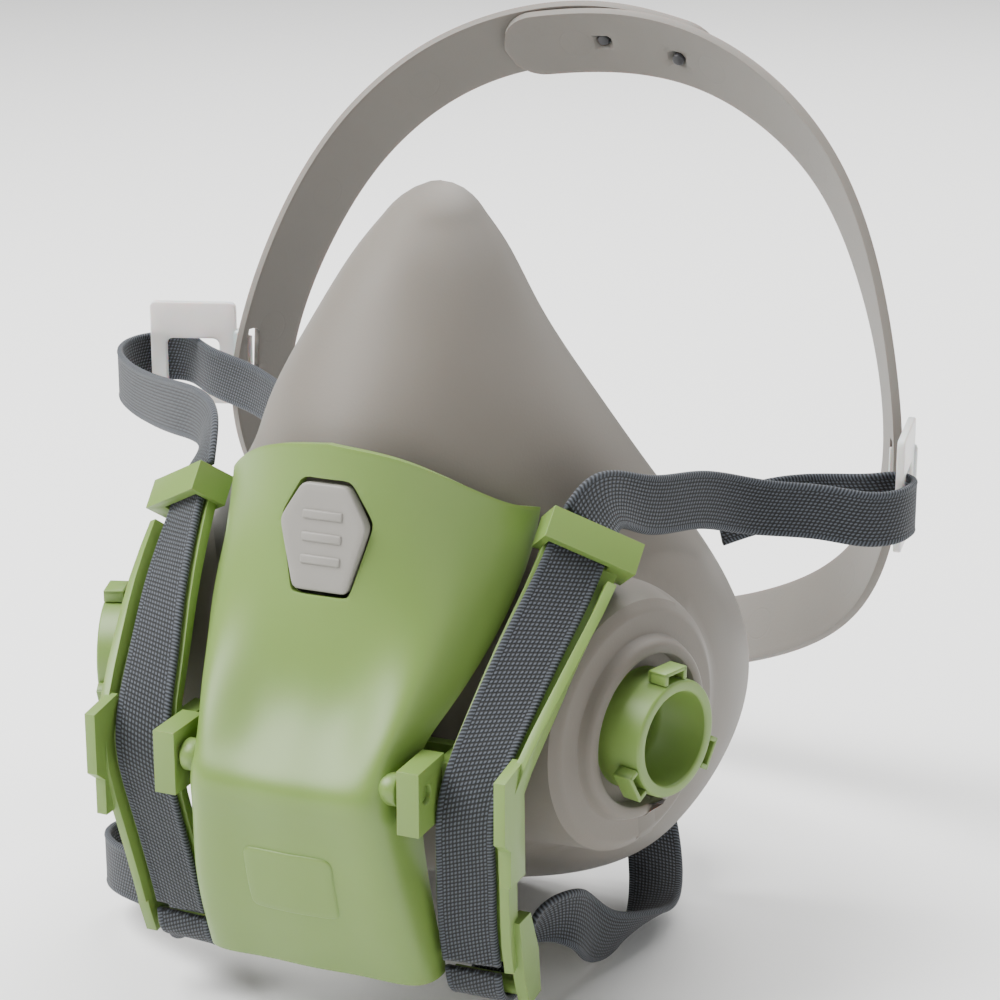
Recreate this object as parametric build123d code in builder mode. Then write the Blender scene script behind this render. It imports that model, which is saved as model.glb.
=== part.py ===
from build123d import *
import os
from math import cos, radians, sin

# Half-mask respirator. Millimetres. +X is the viewer's right, -Y is the front, +Z is up.
# The origin is the middle of the face seal.

# Driving dimensions
WALL = 2.6                    # moulded facepiece wall
COVER_WALL = 2.2              # front cover wall
WEB_WIDTH = 12.7              # half inch elastic webbing
WEB_THICKNESS = 1.3
STRAP_CLEARANCE = 0.5         # webbing to the plastic that it lies on
RIBBON_RUN = 4                # steps of a band that are made as one piece

PORT_CENTRE = (67, -65.5, -24)
PORT_AXIS_ANGLE = 18.4        # the ports look this far forward of straight out
PORT_BORE_R = 10
PORT_TUBE_R = 12
PORT_LUG_R = 15
PORT_LUG_ANGLES = (85, 205, 325)
PORT_LUG_WIDTH = 7
PORT_LUG_THICKNESS = 2.6
PORT_DEPTH = 16
PORT_SEAT_DEPTH = 10.6        # the filter spigot goes in as far as this
PORT_THROAT_R = 9.4           # narrower throat behind the seat, which holds the spider
PORT_FLANGE_R = 16.2
PORT_FLANGE_TOP = 5.5
PORT_FLANGE_THICKNESS = 2
PORT_WALL_BACK = 12           # inner face of the facepiece wall at the port
PORT_STEP_RADII = (24.5, 19.5)
PORT_STEP_TOPS = (10, 8.4)
NUT_R = 17
NUT_THICKNESS = 2.5
SPIDER_THICKNESS = 1.6
SPOKE_WIDTH = 1.6
HUB_R = 2.4
STEM_R = 1.2
STEM_CLEARANCE = 0.05
VALVE_DISC_R = 11.2
VALVE_DISC_THICKNESS = 0.8

EXHALE_Z = -38
EXHALE_FACE_Y = -87.8         # flat boss at the front of the facepiece
EXHALE_TUBE_R = 15.2
EXHALE_BORE_R = 12.5
EXHALE_FLANGE_R = 17
EXHALE_DISC_R = 14.2

PIN_Y = -107
PIN_Z = -26
PIN_R = 2.0
PIN_CLEARANCE = 0.05
PIN_ROOT_X = 20.5             # inside the cover's wall
PIN_LENGTH = 8.4
PIN_BOSS_R = 3.4
PIN_BOSS_LENGTH = 3.7

BADGE_Z = 18.8
BADGE_WIDTH = 19.5
BADGE_HEIGHT = 22
BADGE_GAP = 1.0

CRADLE_THICKNESS = 2.0
CRADLE_HOLE_R = 1.5
SLOT_LENGTH = 15
SLOT_WIDTH = 3.6

os.makedirs("parts", exist_ok=True)


def write(builder, label):
    """Label a finished sub-part and write its STEP file."""
    builder.part.label = label
    export_step(builder.part, f"parts/{label}.step")


def mirrored(builder, label, other_label):
    """Write a right-hand piece, and the left-hand piece that mirrors it."""
    write(builder, label)
    with BuildPart() as other:
        mirror(builder.part, about=Plane.YZ)
    write(other, other_label)


def half_outline(half):
    """A section's points all the way round, from its right half, which ends at x = 0."""
    return list(half) + [(-x, y) for x, y in reversed(half[:-1])]


def section(z, half):
    """A flat D-shaped section: a smooth front and a straight back."""
    points = half_outline(half)
    with BuildSketch(Plane.XY.offset(z)) as flat:
        with BuildLine():
            Spline(*points)
            Line(points[-1], points[0])
        make_face()
    return flat.sketch


def ribbon_planes(points, across, count):
    """Planes along a smooth path, each with its x along the ribbon's width."""
    path = Spline(*points)
    knots = [Vector(*p) for p in points]
    marks = [0.0]
    for a, b in zip(knots, knots[1:]):
        marks.append(marks[-1] + (b - a).length)
    marks = [m / marks[-1] for m in marks]
    planes = []
    for i in range(count + 1):
        u = i / count
        k = max(j for j in range(len(marks) - 1) if marks[j] <= u)
        f = (u - marks[k]) / (marks[k + 1] - marks[k])
        w = Vector(*across[k]) * (1 - f) + Vector(*across[k + 1]) * f
        t = path % u
        w = (w - t * w.dot(t)).normalized()
        planes.append(Plane(origin=path @ u, x_dir=w, z_dir=t))
    return planes


def ribbon(planes, width, thickness, side=0, height=0):
    """A flat band through the planes, shifted along its width and its normal."""
    strips = []
    for plane in planes:
        with BuildSketch(plane) as strip:
            with Locations((side, height)):
                Rectangle(width, thickness)
        strips.append(strip.sketch)
    for first in range(0, len(strips) - 1, RIBBON_RUN):
        loft(sections=strips[first:first + RIBBON_RUN + 1], ruled=True)


# ---------------------------------------------------------------- facepiece
# Each row: height, then (half width, depth) from the seal edge round to the front.
FACE_SECTIONS = [
    (79, [(4.5, -32), (5, -35), (4, -38), (2, -40), (0, -40.5)]),
    (68, [(13, -30), (13.5, -38), (11, -46), (6, -53), (0, -56)]),
    (55, [(20, -27), (21, -38), (18, -51), (10, -63), (0, -67.5)]),
    (36, [(31.5, -22), (32.5, -38), (28, -54), (16.5, -71.5), (0, -82)]),
    (18, [(43, -17), (44.5, -36), (37, -53.5), (22.5, -73.5), (0, -85.5)]),
    (0, [(53, -9), (57, -30), (51, -52), (34, -73), (0, -86)]),
    (-24, [(60.6, 0), (64.5, -22), (61, -50), (43, -75), (0, -86)]),
    (-45, [(59, 3), (62, -22), (57, -48), (38, -72), (0, -83.5)]),
    (-65, [(50, 2), (51, -18), (45, -40), (28, -56), (0, -62)]),
    (-80, [(33, -2), (33, -12), (27, -22), (14, -30), (0, -33)]),
    (-88, [(12, -5), (12, -8), (9, -11), (4, -13), (0, -14)]),
]
LIP_THICKNESS = 3.2
CAVITY_RISE = 2.4             # the cavity ends this far inside the sloping top and chin
LIP_OPENING = [(0, 60), (12, 50), (23, 30), (36, 8), (45, -14), (48, -34), (43, -55), (28, -70), (0, -77)]


def inner_half(half):
    """The cavity's section, one wall inside the outer one."""
    moves = [(-WALL, -LIP_THICKNESS), (-WALL, 0), (-WALL * 0.9, WALL * 0.5), (-WALL * 0.5, WALL * 0.9), (0, WALL)]
    return [(max(x + dx, 0), y + dy) for (x, y), (dx, dy) in zip(half, moves)]


def cavity_height(z):
    """The cavity's sections sit lower under the nose and higher over the chin."""
    if z > 30:
        return z - CAVITY_RISE
    if z < -40:
        return z + CAVITY_RISE
    return z


axis_angle = radians(PORT_AXIS_ANGLE)
port_axis = Vector(cos(axis_angle), -sin(axis_angle), 0)
port_plane = Plane(origin=PORT_CENTRE, x_dir=(0, 0, 1), z_dir=port_axis)
left_axis = Vector(-port_axis.X, port_axis.Y, 0)
left_port_plane = Plane(origin=(-PORT_CENTRE[0], PORT_CENTRE[1], PORT_CENTRE[2]), x_dir=(0, 0, 1), z_dir=left_axis)
exhale_plane = Plane(origin=(0, EXHALE_FACE_Y, EXHALE_Z), x_dir=(1, 0, 0), z_dir=(0, -1, 0))

with BuildPart() as facepiece:
    loft(sections=[section(z, half) for z, half in FACE_SECTIONS])
    # stepped rings moulded round each port
    for plane in (port_plane, left_port_plane):
        for radius, top in zip(PORT_STEP_RADII, PORT_STEP_TOPS):
            with BuildSketch(plane.offset(-top)):
                Circle(radius)
            extrude(amount=-6)
    # flat boss for the exhalation seat
    with BuildSketch(exhale_plane):
        Circle(EXHALE_FLANGE_R + 2)
    extrude(amount=-10)

with BuildPart() as cavity:
    loft(sections=[section(cavity_height(z), inner_half(half)) for z, half in FACE_SECTIONS[1:-1]])

with BuildPart() as shell:
    add(facepiece.part)
    add(cavity.part, mode=Mode.SUBTRACT)
    for plane in (port_plane, left_port_plane):
        with BuildSketch(plane.offset(-PORT_WALL_BACK)):
            Circle(NUT_R + 1)
        extrude(amount=-20, mode=Mode.SUBTRACT)
        with BuildSketch(plane):
            Circle(PORT_TUBE_R)
        extrude(amount=-PORT_DEPTH, mode=Mode.SUBTRACT)
        with BuildSketch(plane):
            Circle(PORT_FLANGE_R + 0.2)
        extrude(amount=-PORT_FLANGE_TOP - PORT_FLANGE_THICKNESS, mode=Mode.SUBTRACT)
    with BuildSketch(exhale_plane.offset(-WALL)):
        Circle(EXHALE_FLANGE_R)
    extrude(amount=-20, mode=Mode.SUBTRACT)
    with BuildSketch(exhale_plane.offset(1)):
        Circle(EXHALE_TUBE_R)
    extrude(amount=-20, mode=Mode.SUBTRACT)
    # the opening for the face, inside the turned-in sealing lip
    with BuildSketch(Plane.XZ.offset(-20)):
        with BuildLine():
            Spline(*LIP_OPENING)
            Spline(*[(-x, z) for x, z in LIP_OPENING])
        make_face()
    extrude(amount=48, mode=Mode.SUBTRACT)
write(shell, "facepiece")

# ---------------------------------------------------------------- front cover
# Each row: height, then (half width, depth) from the rear edge of the flank to the middle.
COVER_SECTIONS = [
    (40, [(33, -60), (30.5, -69), (24, -78.5), (13, -85.6), (0, -88)]),
    (20, [(34.9, -61), (31.5, -71), (24.5, -80.5), (13, -88.4), (0, -91)]),
    (0, [(33, -77), (29.2, -84), (24, -91.5), (12, -95), (0, -95.6)]),
    (-15, [(27.2, -92), (24.8, -98.5), (21.5, -104), (11, -102.5), (0, -102)]),
    (-22, [(24.2, -97), (23, -102), (20.4, -109), (10, -108.6), (0, -108.5)]),
    (-26, [(24, -97), (23, -104), (20.2, -111.3), (10, -112.4), (0, -112.6)]),
    (-35, [(24, -97), (23.4, -104), (21, -110.8), (10.5, -112.2), (0, -112.5)]),
    (-50, [(25.6, -97), (24.8, -101.5), (23, -107), (11.5, -108.8), (0, -109.2)]),
    (-73, [(26.2, -90), (26.2, -94), (25, -97.5), (13, -99.6), (0, -100)]),
]
TOP_EDGE = [(0, 37.5), (15, 34.8), (27, 27.6), (36, 19.5), (50, 6)]


def cover_inner(half):
    """The cover's hollow, one wall inside and open at the back."""
    w = COVER_WALL
    moves = [(-w, 12), (-w, 0), (-w * 0.8, w * 0.7), (-w * 0.4, w), (0, w)]
    return [(x + dx, y + dy) for (x, y), (dx, dy) in zip(half, moves)]


def hollow_reach(z):
    """The hollow runs past the cover's top and its open bottom."""
    if z > COVER_SECTIONS[1][0]:
        return 2
    if z == COVER_SECTIONS[-1][0]:
        return -2
    return 0


def badge_outline(plane, grow, corner):
    """A rounded six-sided plate, wide above its middle, grown by a margin."""
    w = BADGE_WIDTH / 2 + grow
    h = BADGE_HEIGHT / 2 + grow
    with BuildSketch(plane) as outline:
        with BuildLine():
            Polyline(
                (-w, h * 0.28), (-w * 0.52, h), (w * 0.52, h),
                (w, h * 0.28), (w * 0.62, -h), (-w * 0.62, -h), close=True,
            )
        make_face()
        fillet(outline.vertices(), corner)
    return outline.sketch


PAD_WIDTH = 20
PAD_HEIGHT = 15
PAD_CORNER = 4
PAD_RISE = 0.6
PAD_DEPTH = 1.4                # how far the pad reaches into the cover's wall
PAD_SLOPE = radians(17)        # the lower front leans back by this
pad_plane = Plane((0, -109.2, -50), x_dir=(1, 0, 0), z_dir=(0, -cos(PAD_SLOPE), -sin(PAD_SLOPE)))

with BuildPart() as cover_hollow:
    loft(sections=[section(z + hollow_reach(z), cover_inner(half)) for z, half in COVER_SECTIONS], ruled=True)

with BuildPart() as front_cover:
    loft(sections=[section(z, half) for z, half in COVER_SECTIONS], ruled=True)
    add(cover_hollow.part, mode=Mode.SUBTRACT)
    with BuildSketch(Plane.XZ.offset(40)):
        with BuildLine():
            Spline(*TOP_EDGE)
            Spline(*[(-x, z) for x, z in TOP_EDGE])
            Polyline((50, 6), (50, 60), (-50, 60), (-50, 6))
        make_face()
    extrude(amount=60, mode=Mode.SUBTRACT)
    window = badge_outline(Plane((0, -80, BADGE_Z), x_dir=(1, 0, 0), z_dir=(0, -1, 0)), BADGE_GAP, 3.5)
    extrude(window, amount=30, mode=Mode.SUBTRACT)
    # raised plain pad that lies on the sloping lower front
    with BuildSketch(pad_plane.offset(-PAD_DEPTH)):
        RectangleRounded(PAD_WIDTH, PAD_HEIGHT, PAD_CORNER)
    extrude(amount=PAD_DEPTH + PAD_RISE)
    # trunnion pins with their bosses
    for side in (-1, 1):
        with BuildSketch(Plane((side * PIN_ROOT_X, PIN_Y, PIN_Z), x_dir=(0, 1, 0), z_dir=(side, 0, 0))):
            Circle(PIN_BOSS_R)
        extrude(amount=PIN_BOSS_LENGTH)
        with BuildSketch(Plane((side * PIN_ROOT_X, PIN_Y, PIN_Z), x_dir=(0, 1, 0), z_dir=(side, 0, 0))):
            Circle(PIN_R)
        extrude(amount=PIN_LENGTH)
write(front_cover, "front_cover")

# ---------------------------------------------------------------- size badge
with BuildPart() as size_badge:
    extrude(badge_outline(Plane((0, -88.4, BADGE_Z), x_dir=(1, 0, 0), z_dir=(0, -1, 0)), 0, 2.8), amount=2.6)
    with BuildSketch(Plane((0, -88.4, BADGE_Z), x_dir=(1, 0, 0), z_dir=(0, -1, 0))):
        Circle(4)
    extrude(amount=-2.8)
    # three raised bars
    with BuildSketch(Plane((0, -91, BADGE_Z), x_dir=(1, 0, 0), z_dir=(0, -1, 0))):
        with GridLocations(0, 4.6, 1, 3):
            SlotOverall(9, 2)
    extrude(amount=0.5)
write(size_badge, "size_badge")

# ---------------------------------------------------------------- ports and inhalation valves
with BuildPart() as port:
    with BuildSketch(port_plane):
        Circle(PORT_TUBE_R)
        Circle(PORT_BORE_R, mode=Mode.SUBTRACT)
    extrude(amount=-PORT_SEAT_DEPTH)
    with BuildSketch(port_plane.offset(-PORT_SEAT_DEPTH)):
        Circle(PORT_TUBE_R)
        Circle(PORT_THROAT_R, mode=Mode.SUBTRACT)
    extrude(amount=PORT_SEAT_DEPTH - PORT_DEPTH)
    with BuildSketch(port_plane.offset(-PORT_FLANGE_TOP)):
        Circle(PORT_FLANGE_R)
        Circle(PORT_BORE_R, mode=Mode.SUBTRACT)
    extrude(amount=-PORT_FLANGE_THICKNESS)
    # three bayonet lugs at the mouth
    for angle in PORT_LUG_ANGLES:
        with BuildSketch(port_plane) as lug:
            with PolarLocations(0, 1, angle):
                with Locations(((PORT_LUG_R + PORT_BORE_R + 1) / 2, 0)):
                    Rectangle(PORT_LUG_R - PORT_BORE_R - 1, PORT_LUG_WIDTH)
        extrude(amount=-PORT_LUG_THICKNESS)
    # spider that carries the valve's stem
    with BuildSketch(port_plane.offset(SPIDER_THICKNESS - PORT_DEPTH)):
        Circle(HUB_R)
        with PolarLocations(PORT_BORE_R / 2, 3, 25):
            Rectangle(PORT_BORE_R + 1, SPOKE_WIDTH)
        Circle(STEM_R + STEM_CLEARANCE, mode=Mode.SUBTRACT)
    extrude(amount=-SPIDER_THICKNESS)
mirrored(port, "port_right", "port_left")

with BuildPart() as inhalation_valve:
    with BuildSketch(port_plane.offset(-PORT_DEPTH)):
        Circle(VALVE_DISC_R)
    extrude(amount=-VALVE_DISC_THICKNESS)
    with BuildSketch(port_plane.offset(-PORT_DEPTH)):
        Circle(STEM_R)
    extrude(amount=SPIDER_THICKNESS + 2.4)
    with BuildSketch(port_plane.offset(SPIDER_THICKNESS + 2.4 - PORT_DEPTH)):
        Circle(STEM_R + 0.5)
    extrude(amount=0.9)
mirrored(inhalation_valve, "inhalation_valve_right", "inhalation_valve_left")

with BuildPart() as port_nut:
    with BuildSketch(port_plane.offset(-PORT_WALL_BACK)):
        Circle(NUT_R)
        Circle(PORT_TUBE_R, mode=Mode.SUBTRACT)
        with PolarLocations(NUT_R, 6):
            Circle(1.6, mode=Mode.SUBTRACT)
    extrude(amount=-NUT_THICKNESS)
mirrored(port_nut, "port_nut_right", "port_nut_left")

# ---------------------------------------------------------------- exhalation seat and valve
SEAT_FRONT = 5.2               # how far the valve's seating edge stands off the boss
with BuildPart() as exhalation_seat:
    with BuildSketch(exhale_plane.offset(SEAT_FRONT)):
        Circle(EXHALE_TUBE_R)
        Circle(EXHALE_BORE_R, mode=Mode.SUBTRACT)
    extrude(amount=-SEAT_FRONT - WALL - 2)
    with BuildSketch(exhale_plane.offset(3.4)):
        Circle(EXHALE_FLANGE_R)
        Circle(EXHALE_BORE_R, mode=Mode.SUBTRACT)
    extrude(amount=1.2)
    with BuildSketch(exhale_plane.offset(-WALL)):
        Circle(EXHALE_FLANGE_R - 0.2)
        Circle(EXHALE_BORE_R, mode=Mode.SUBTRACT)
    extrude(amount=-2)
    with BuildSketch(exhale_plane.offset(SEAT_FRONT - 0.6)):
        Circle(HUB_R)
        with PolarLocations(EXHALE_BORE_R / 2, 4, 45):
            Rectangle(EXHALE_BORE_R + 1, SPOKE_WIDTH)
        Circle(STEM_R + STEM_CLEARANCE, mode=Mode.SUBTRACT)
    extrude(amount=-2)
write(exhalation_seat, "exhalation_seat")

with BuildPart() as exhalation_valve:
    with BuildSketch(exhale_plane.offset(SEAT_FRONT)):
        Circle(EXHALE_DISC_R)
    extrude(amount=VALVE_DISC_THICKNESS)
    with BuildSketch(exhale_plane.offset(SEAT_FRONT)):
        Circle(STEM_R)
    extrude(amount=-5.4)
    with BuildSketch(exhale_plane.offset(SEAT_FRONT - 5.4)):
        Circle(STEM_R + 0.5)
    extrude(amount=-0.9)
write(exhalation_valve, "exhalation_valve")

# ---------------------------------------------------------------- webbing in the channels
# The right-hand run, from the window in the top block down to the bottom bar.
FRONT_PATH = [
    (45.3, -63.5, 16.2), (44.6, -70.5, 9.5), (42.6, -81.2, 0), (39.6, -93.2, -13),
    (36.9, -102.8, -27.7), (35.4, -100.8, -44), (34.2, -97.4, -58), (33.9, -94.6, -67.5),
]
FRONT_ACROSS = [
    (0.79, 0.33, -0.51), (0.85, 0.3, -0.42), (0.93, 0.27, -0.25), (0.98, 0.12, -0.1),
    (1, 0, 0), (1, 0.08, -0.04), (1, 0.1, -0.04), (1, 0.1, -0.02),
]
front_planes = ribbon_planes(FRONT_PATH, FRONT_ACROSS, 14)

with BuildPart() as front_strap:
    ribbon(front_planes, WEB_WIDTH, WEB_THICKNESS)
mirrored(front_strap, "front_strap_right", "front_strap_left")

# ---------------------------------------------------------------- harness yoke
BLOCK_WIDTH = 20.5
BLOCK_DEPTH = 8.6
BLOCK_HEIGHT = 7
BLOCK_ABOVE = 2.5              # how much of the block is above the channel's top
BLOCK_SHIFT = 1.8
BLOCK_BACK = 0.6
INNER_TAB = (24.9, 4.8)        # near side and thickness, outward along X
INNER_TAB_SIZE = (12.4, 13.6)
OUTER_TAB = (44.7, 2.4)
LEG = (42.6, 2.6)
BAR = (27.4, 16)
BAR_R = 1.9
BAR_PLACE = (-88.4, -74.2)
PLATE_THICKNESS = 2.2
PLATE_WIDTH = 16.6
PLATE_SHIFT = 1.4              # the plate reaches further out than in
RIM_HEIGHT = 5.5
RIM_WIDTH = 2
plate_back = WEB_THICKNESS / 2 + STRAP_CLEARANCE + PLATE_THICKNESS / 2
# the normal of the first plane tells which way is behind the webbing
behind = 1 if front_planes[4].y_dir.Y > 0 else -1
block_plane = front_planes[0]

with BuildPart() as yoke_side:
    ribbon(front_planes, PLATE_WIDTH, PLATE_THICKNESS, PLATE_SHIFT, behind * plate_back)
    rim_side = PLATE_SHIFT + PLATE_WIDTH / 2 - RIM_WIDTH / 2
    rim_centre = behind * (plate_back + PLATE_THICKNESS / 2 - RIM_HEIGHT / 2)
    ribbon(front_planes[1:], RIM_WIDTH, RIM_HEIGHT, rim_side, rim_centre)
    # top block with the window that the webbing passes through
    with BuildSketch(block_plane.offset(-BLOCK_ABOVE)):
        with Locations((BLOCK_SHIFT, behind * BLOCK_BACK)):
            Rectangle(BLOCK_WIDTH, BLOCK_DEPTH)
        with Locations((0, 0)):
            Rectangle(WEB_WIDTH + 1, WEB_THICKNESS + 2, mode=Mode.SUBTRACT)
    extrude(amount=BLOCK_HEIGHT)
    # inner tab that carries the cover's pin
    with BuildSketch(Plane.YZ.offset(INNER_TAB[0])):
        with Locations((PIN_Y + 2.4, PIN_Z - 1.2)):
            Rectangle(*INNER_TAB_SIZE)
        with Locations((PIN_Y, PIN_Z)):
            Circle(PIN_R + PIN_CLEARANCE, mode=Mode.SUBTRACT)
    extrude(amount=INNER_TAB[1])
    # outer tab
    with BuildSketch(Plane.YZ.offset(OUTER_TAB[0])):
        with BuildLine():
            Polyline((-99, -19), (-108.6, -20.4), (-108.6, -33.7), (-105.5, -36), (-105.5, -44), (-98, -44), close=True)
        make_face()
    extrude(amount=OUTER_TAB[1])
    # web and arm that reach in to the ring on the exhalation seat
    with BuildSketch(Plane.XY.offset(-33)):
        with BuildLine():
            Polyline((28.4, -99.5), (32.5, -99.5), (32.5, -88.2), (12, -88.2), (12, -90.9), (28.4, -90.9), close=True)
        make_face()
    extrude(amount=11)
    # lower leg and the bar that the webbing turns round
    with BuildSketch(Plane.YZ.offset(LEG[0])):
        with BuildLine():
            Polyline((-96.4, -56), (-90.5, -56), (-86, -66), (-84.6, -76.5), (-90.5, -77.2), (-93.4, -70), close=True)
        make_face()
    extrude(amount=LEG[1])
    with BuildSketch(Plane.YZ.offset(BAR[0])):
        with Locations(BAR_PLACE):
            Circle(BAR_R)
    extrude(amount=BAR[1])

with BuildPart() as harness_yoke:
    add(yoke_side.part)
    mirror(yoke_side.part, about=Plane.YZ)
    with BuildSketch(exhale_plane.offset(0.4)):
        Circle(EXHALE_FLANGE_R + 2.4)
        Circle(EXHALE_TUBE_R + 0.1, mode=Mode.SUBTRACT)
    extrude(amount=2.7)
    # bore of the ring, cleared of the arms
    with BuildSketch(exhale_plane.offset(-1)):
        Circle(EXHALE_TUBE_R + 0.1)
    extrude(amount=8, mode=Mode.SUBTRACT)
write(harness_yoke, "harness_yoke")

# ---------------------------------------------------------------- head cradle
# One strip: from the inner tab on the crown, down the right, round the back, up the left
# and over the tab again. Each row is a point of the front edge and the way to the rear edge.
CRADLE_RIGHT = [
    ((0, 62, 105), (0, 9, -15.2)),
    ((20, 60.5, 103), (-1.5, 9.5, -14.5)),
    ((43, 55, 94), (-4, 11, -13)),
    ((63, 47.5, 77), (-6.5, 13.5, -10)),
    ((77, 39, 52), (-8, 16.5, -6)),
    ((84, 32.5, 28), (-8, 18.2, -1.5)),
    ((86.3, 30, 8), (-7.8, 18.3, 0)),
    ((83, 34, -12), (-7, 16, 4)),
    ((70, 46, -35), (-6, 12.5, 9)),
    ((50, 57, -50), (-4, 11, 11.5)),
    ((25, 64.5, -59.5), (-1.5, 10.5, 12.5)),
]
CRADLE_BOTTOM = ((0, 67, -62.5), (0, 10, 13))
CROWN_WIDTH = 18
LAP = 2.6                      # how far the outer end stands off the inner one
CROWN_OUT = Vector(0, 0.86, 0.51)
CRADLE_STEPS = 56


def across_x(row):
    """The same row on the left side."""
    (x, y, z), (a, b, c) = row
    return ((-x, y, z), (-a, b, c))


def lifted(row):
    """A crown row of the end that lies on the outside."""
    point, way = row
    return (tuple(Vector(*point) + CROWN_OUT * LAP), way)


start_row = ((-27, 60, 101.6), (2, 9.6, -14.2))
left_rows = [across_x(row) for row in reversed(CRADLE_RIGHT[3:])]
end_rows = [across_x(row) for row in reversed(CRADLE_RIGHT[1:3])]
end_rows += [CRADLE_RIGHT[0], ((31, 58.4, 99.6), (-2.4, 10, -14.2))]
rows = [start_row] + CRADLE_RIGHT + [CRADLE_BOTTOM] + left_rows + [lifted(row) for row in end_rows]
front_edge = [Vector(*p) for p, way in rows]
ways = [Vector(*way) for p, way in rows]
middle = [tuple(p + way * 0.5) for p, way in zip(front_edge, ways)]
cradle_planes = ribbon_planes(middle, [tuple(way) for way in ways], CRADLE_STEPS)

SLOT_HEIGHTS = {"right": 7.5, "left": 17.5}
SLOT_INSET = 4.5                 # from the band's front edge to the middle of the slot


def slot_place(name):
    """The middle of a slot on the band, and the level way out of the band there."""
    side = 1 if name == "right" else -1
    nearest = min(
        (plane for plane in cradle_planes if plane.origin.X * side > 60),
        key=lambda plane: abs(plane.origin.Z - SLOT_HEIGHTS[name]),
    )
    inset = nearest.x_dir * (SLOT_INSET - CROWN_WIDTH / 2)
    point = nearest.origin + inset
    out = Vector(nearest.y_dir.X, nearest.y_dir.Y, 0).normalized()
    if out.X * side < 0:
        out = out * -1
    return Vector(point.X, point.Y, SLOT_HEIGHTS[name]), out


PEG_X = (-1, 19)


def crown_plane(x):
    """The outer face of the inner crown end at a peg hole, looking out."""
    drop = 0.12 * abs(x) + 0.0035 * x * x
    return Plane(origin=(x, 66.6 - 0.1 * abs(x), 97.6 - drop), x_dir=(1, 0, 0), z_dir=CROWN_OUT)


with BuildPart() as head_cradle:
    ribbon(cradle_planes, CROWN_WIDTH, CRADLE_THICKNESS)
    for name in SLOT_HEIGHTS:
        point, out = slot_place(name)
        with BuildSketch(Plane(origin=point, x_dir=(0, 0, 1), z_dir=out)):
            Rectangle(SLOT_LENGTH, SLOT_WIDTH)
        extrude(amount=6, both=True, mode=Mode.SUBTRACT)
    for x in PEG_X:
        with BuildSketch(crown_plane(x)):
            Circle(CRADLE_HOLE_R)
        extrude(amount=6, both=True, mode=Mode.SUBTRACT)
write(head_cradle, "head_cradle")

with BuildPart() as crown_pegs:
    for x in PEG_X:
        with BuildSketch(crown_plane(x).offset(-0.4)):
            Circle(CRADLE_HOLE_R)
        extrude(amount=3.4)
write(crown_pegs, "crown_pegs")

# ---------------------------------------------------------------- buckles
BUCKLE_THICKNESS = 1.8
BUCKLE_REACH = {"right": Vector(0.148, -0.989, 0), "left": Vector(-0.95, -0.312, 0)}
BUCKLE_LENGTH = 22
BUCKLE_HALF_HEIGHT = 13.2
WINDOW_LOW = -9.8
WINDOW_HIGH = 3.8
WINDOW_START = 5
BAR_WIDTH = 3.6
KNUCKLE_OUT = 3.6              # hinge knuckle to the middle of the band
KNUCKLE_R = 1.5
TONGUE_THICKNESS = 1.6
TONGUE_HALF_HEIGHT = 6.4
TONGUE_IN = 3.2

for name, reach in BUCKLE_REACH.items():
    point, out = slot_place(name)
    knuckle = point + out * KNUCKLE_OUT
    frame_plane = Plane(origin=knuckle, x_dir=reach, z_dir=reach.cross(Vector(0, 0, 1)))
    up = frame_plane.y_dir.Z
    with BuildPart() as buckle:
        with BuildSketch(frame_plane.offset(-BUCKLE_THICKNESS / 2)):
            with Locations((BUCKLE_LENGTH / 2 + 0.5, 0)):
                Rectangle(BUCKLE_LENGTH, 2 * BUCKLE_HALF_HEIGHT)
            window_end = BUCKLE_LENGTH - BAR_WIDTH
            with Locations(((WINDOW_START + window_end) / 2, up * (WINDOW_LOW + WINDOW_HIGH) / 2)):
                Rectangle(window_end - WINDOW_START, WINDOW_HIGH - WINDOW_LOW, mode=Mode.SUBTRACT)
        extrude(amount=BUCKLE_THICKNESS)
        with BuildSketch(Plane(origin=knuckle - Vector(0, 0, TONGUE_HALF_HEIGHT))):
            Circle(KNUCKLE_R)
        extrude(amount=2 * TONGUE_HALF_HEIGHT)
        # tongue through the slot and its head on the inside of the band
        with BuildSketch(Plane(origin=knuckle, x_dir=(0, 0, 1), z_dir=out * -1)):
            Rectangle(2 * TONGUE_HALF_HEIGHT, TONGUE_THICKNESS)
        extrude(amount=KNUCKLE_OUT + TONGUE_IN)
        with BuildSketch(Plane(origin=point - out * (TONGUE_IN - 1.2), x_dir=(0, 0, 1), z_dir=out * -1)):
            Rectangle(2 * TONGUE_HALF_HEIGHT, 6)
        extrude(amount=1.4)
    write(buckle, f"buckle_{name}")

# ---------------------------------------------------------------- upper straps
# Each row: a point of the middle line and the way across the webbing.
UPPER_RIGHT = [
    ((45.55, -61, 18.2), (0.79, 0.33, -0.51)), ((46.7, -54.5, 21), (0.6, 0.3, -0.74)),
    ((50.6, -42.2, 17.7), (0.3, 0.2, -0.93)), ((56.7, -22.4, 13.6), (0.1, 0, -1)),
    ((65.8, -5.4, 7.9), (0, 0, -1)), ((77.5, 1.1, 6.3), (0, 0, -1)), ((87.2, 5.6, 4.6), (0, 0, -1)),
    ((91.6, 10.6, 4.4), (0, 0, -1)), ((93, 16.4, 4.4), (0, 0, -1)), ((92, 21.4, 4.4), (0, 0, -1)),
    ((88.2, 23.2, 4.5), (0, 0, -1)), ((83.5, 21, 4.3), (0, 0, -1)), ((72.6, 19.5, 3.3), (0, 0, -1)),
    ((61.4, 10.4, 3.3), (0, 0, -1)), ((52.4, 2.3, 1), (0, 0, -1)),
]
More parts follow.
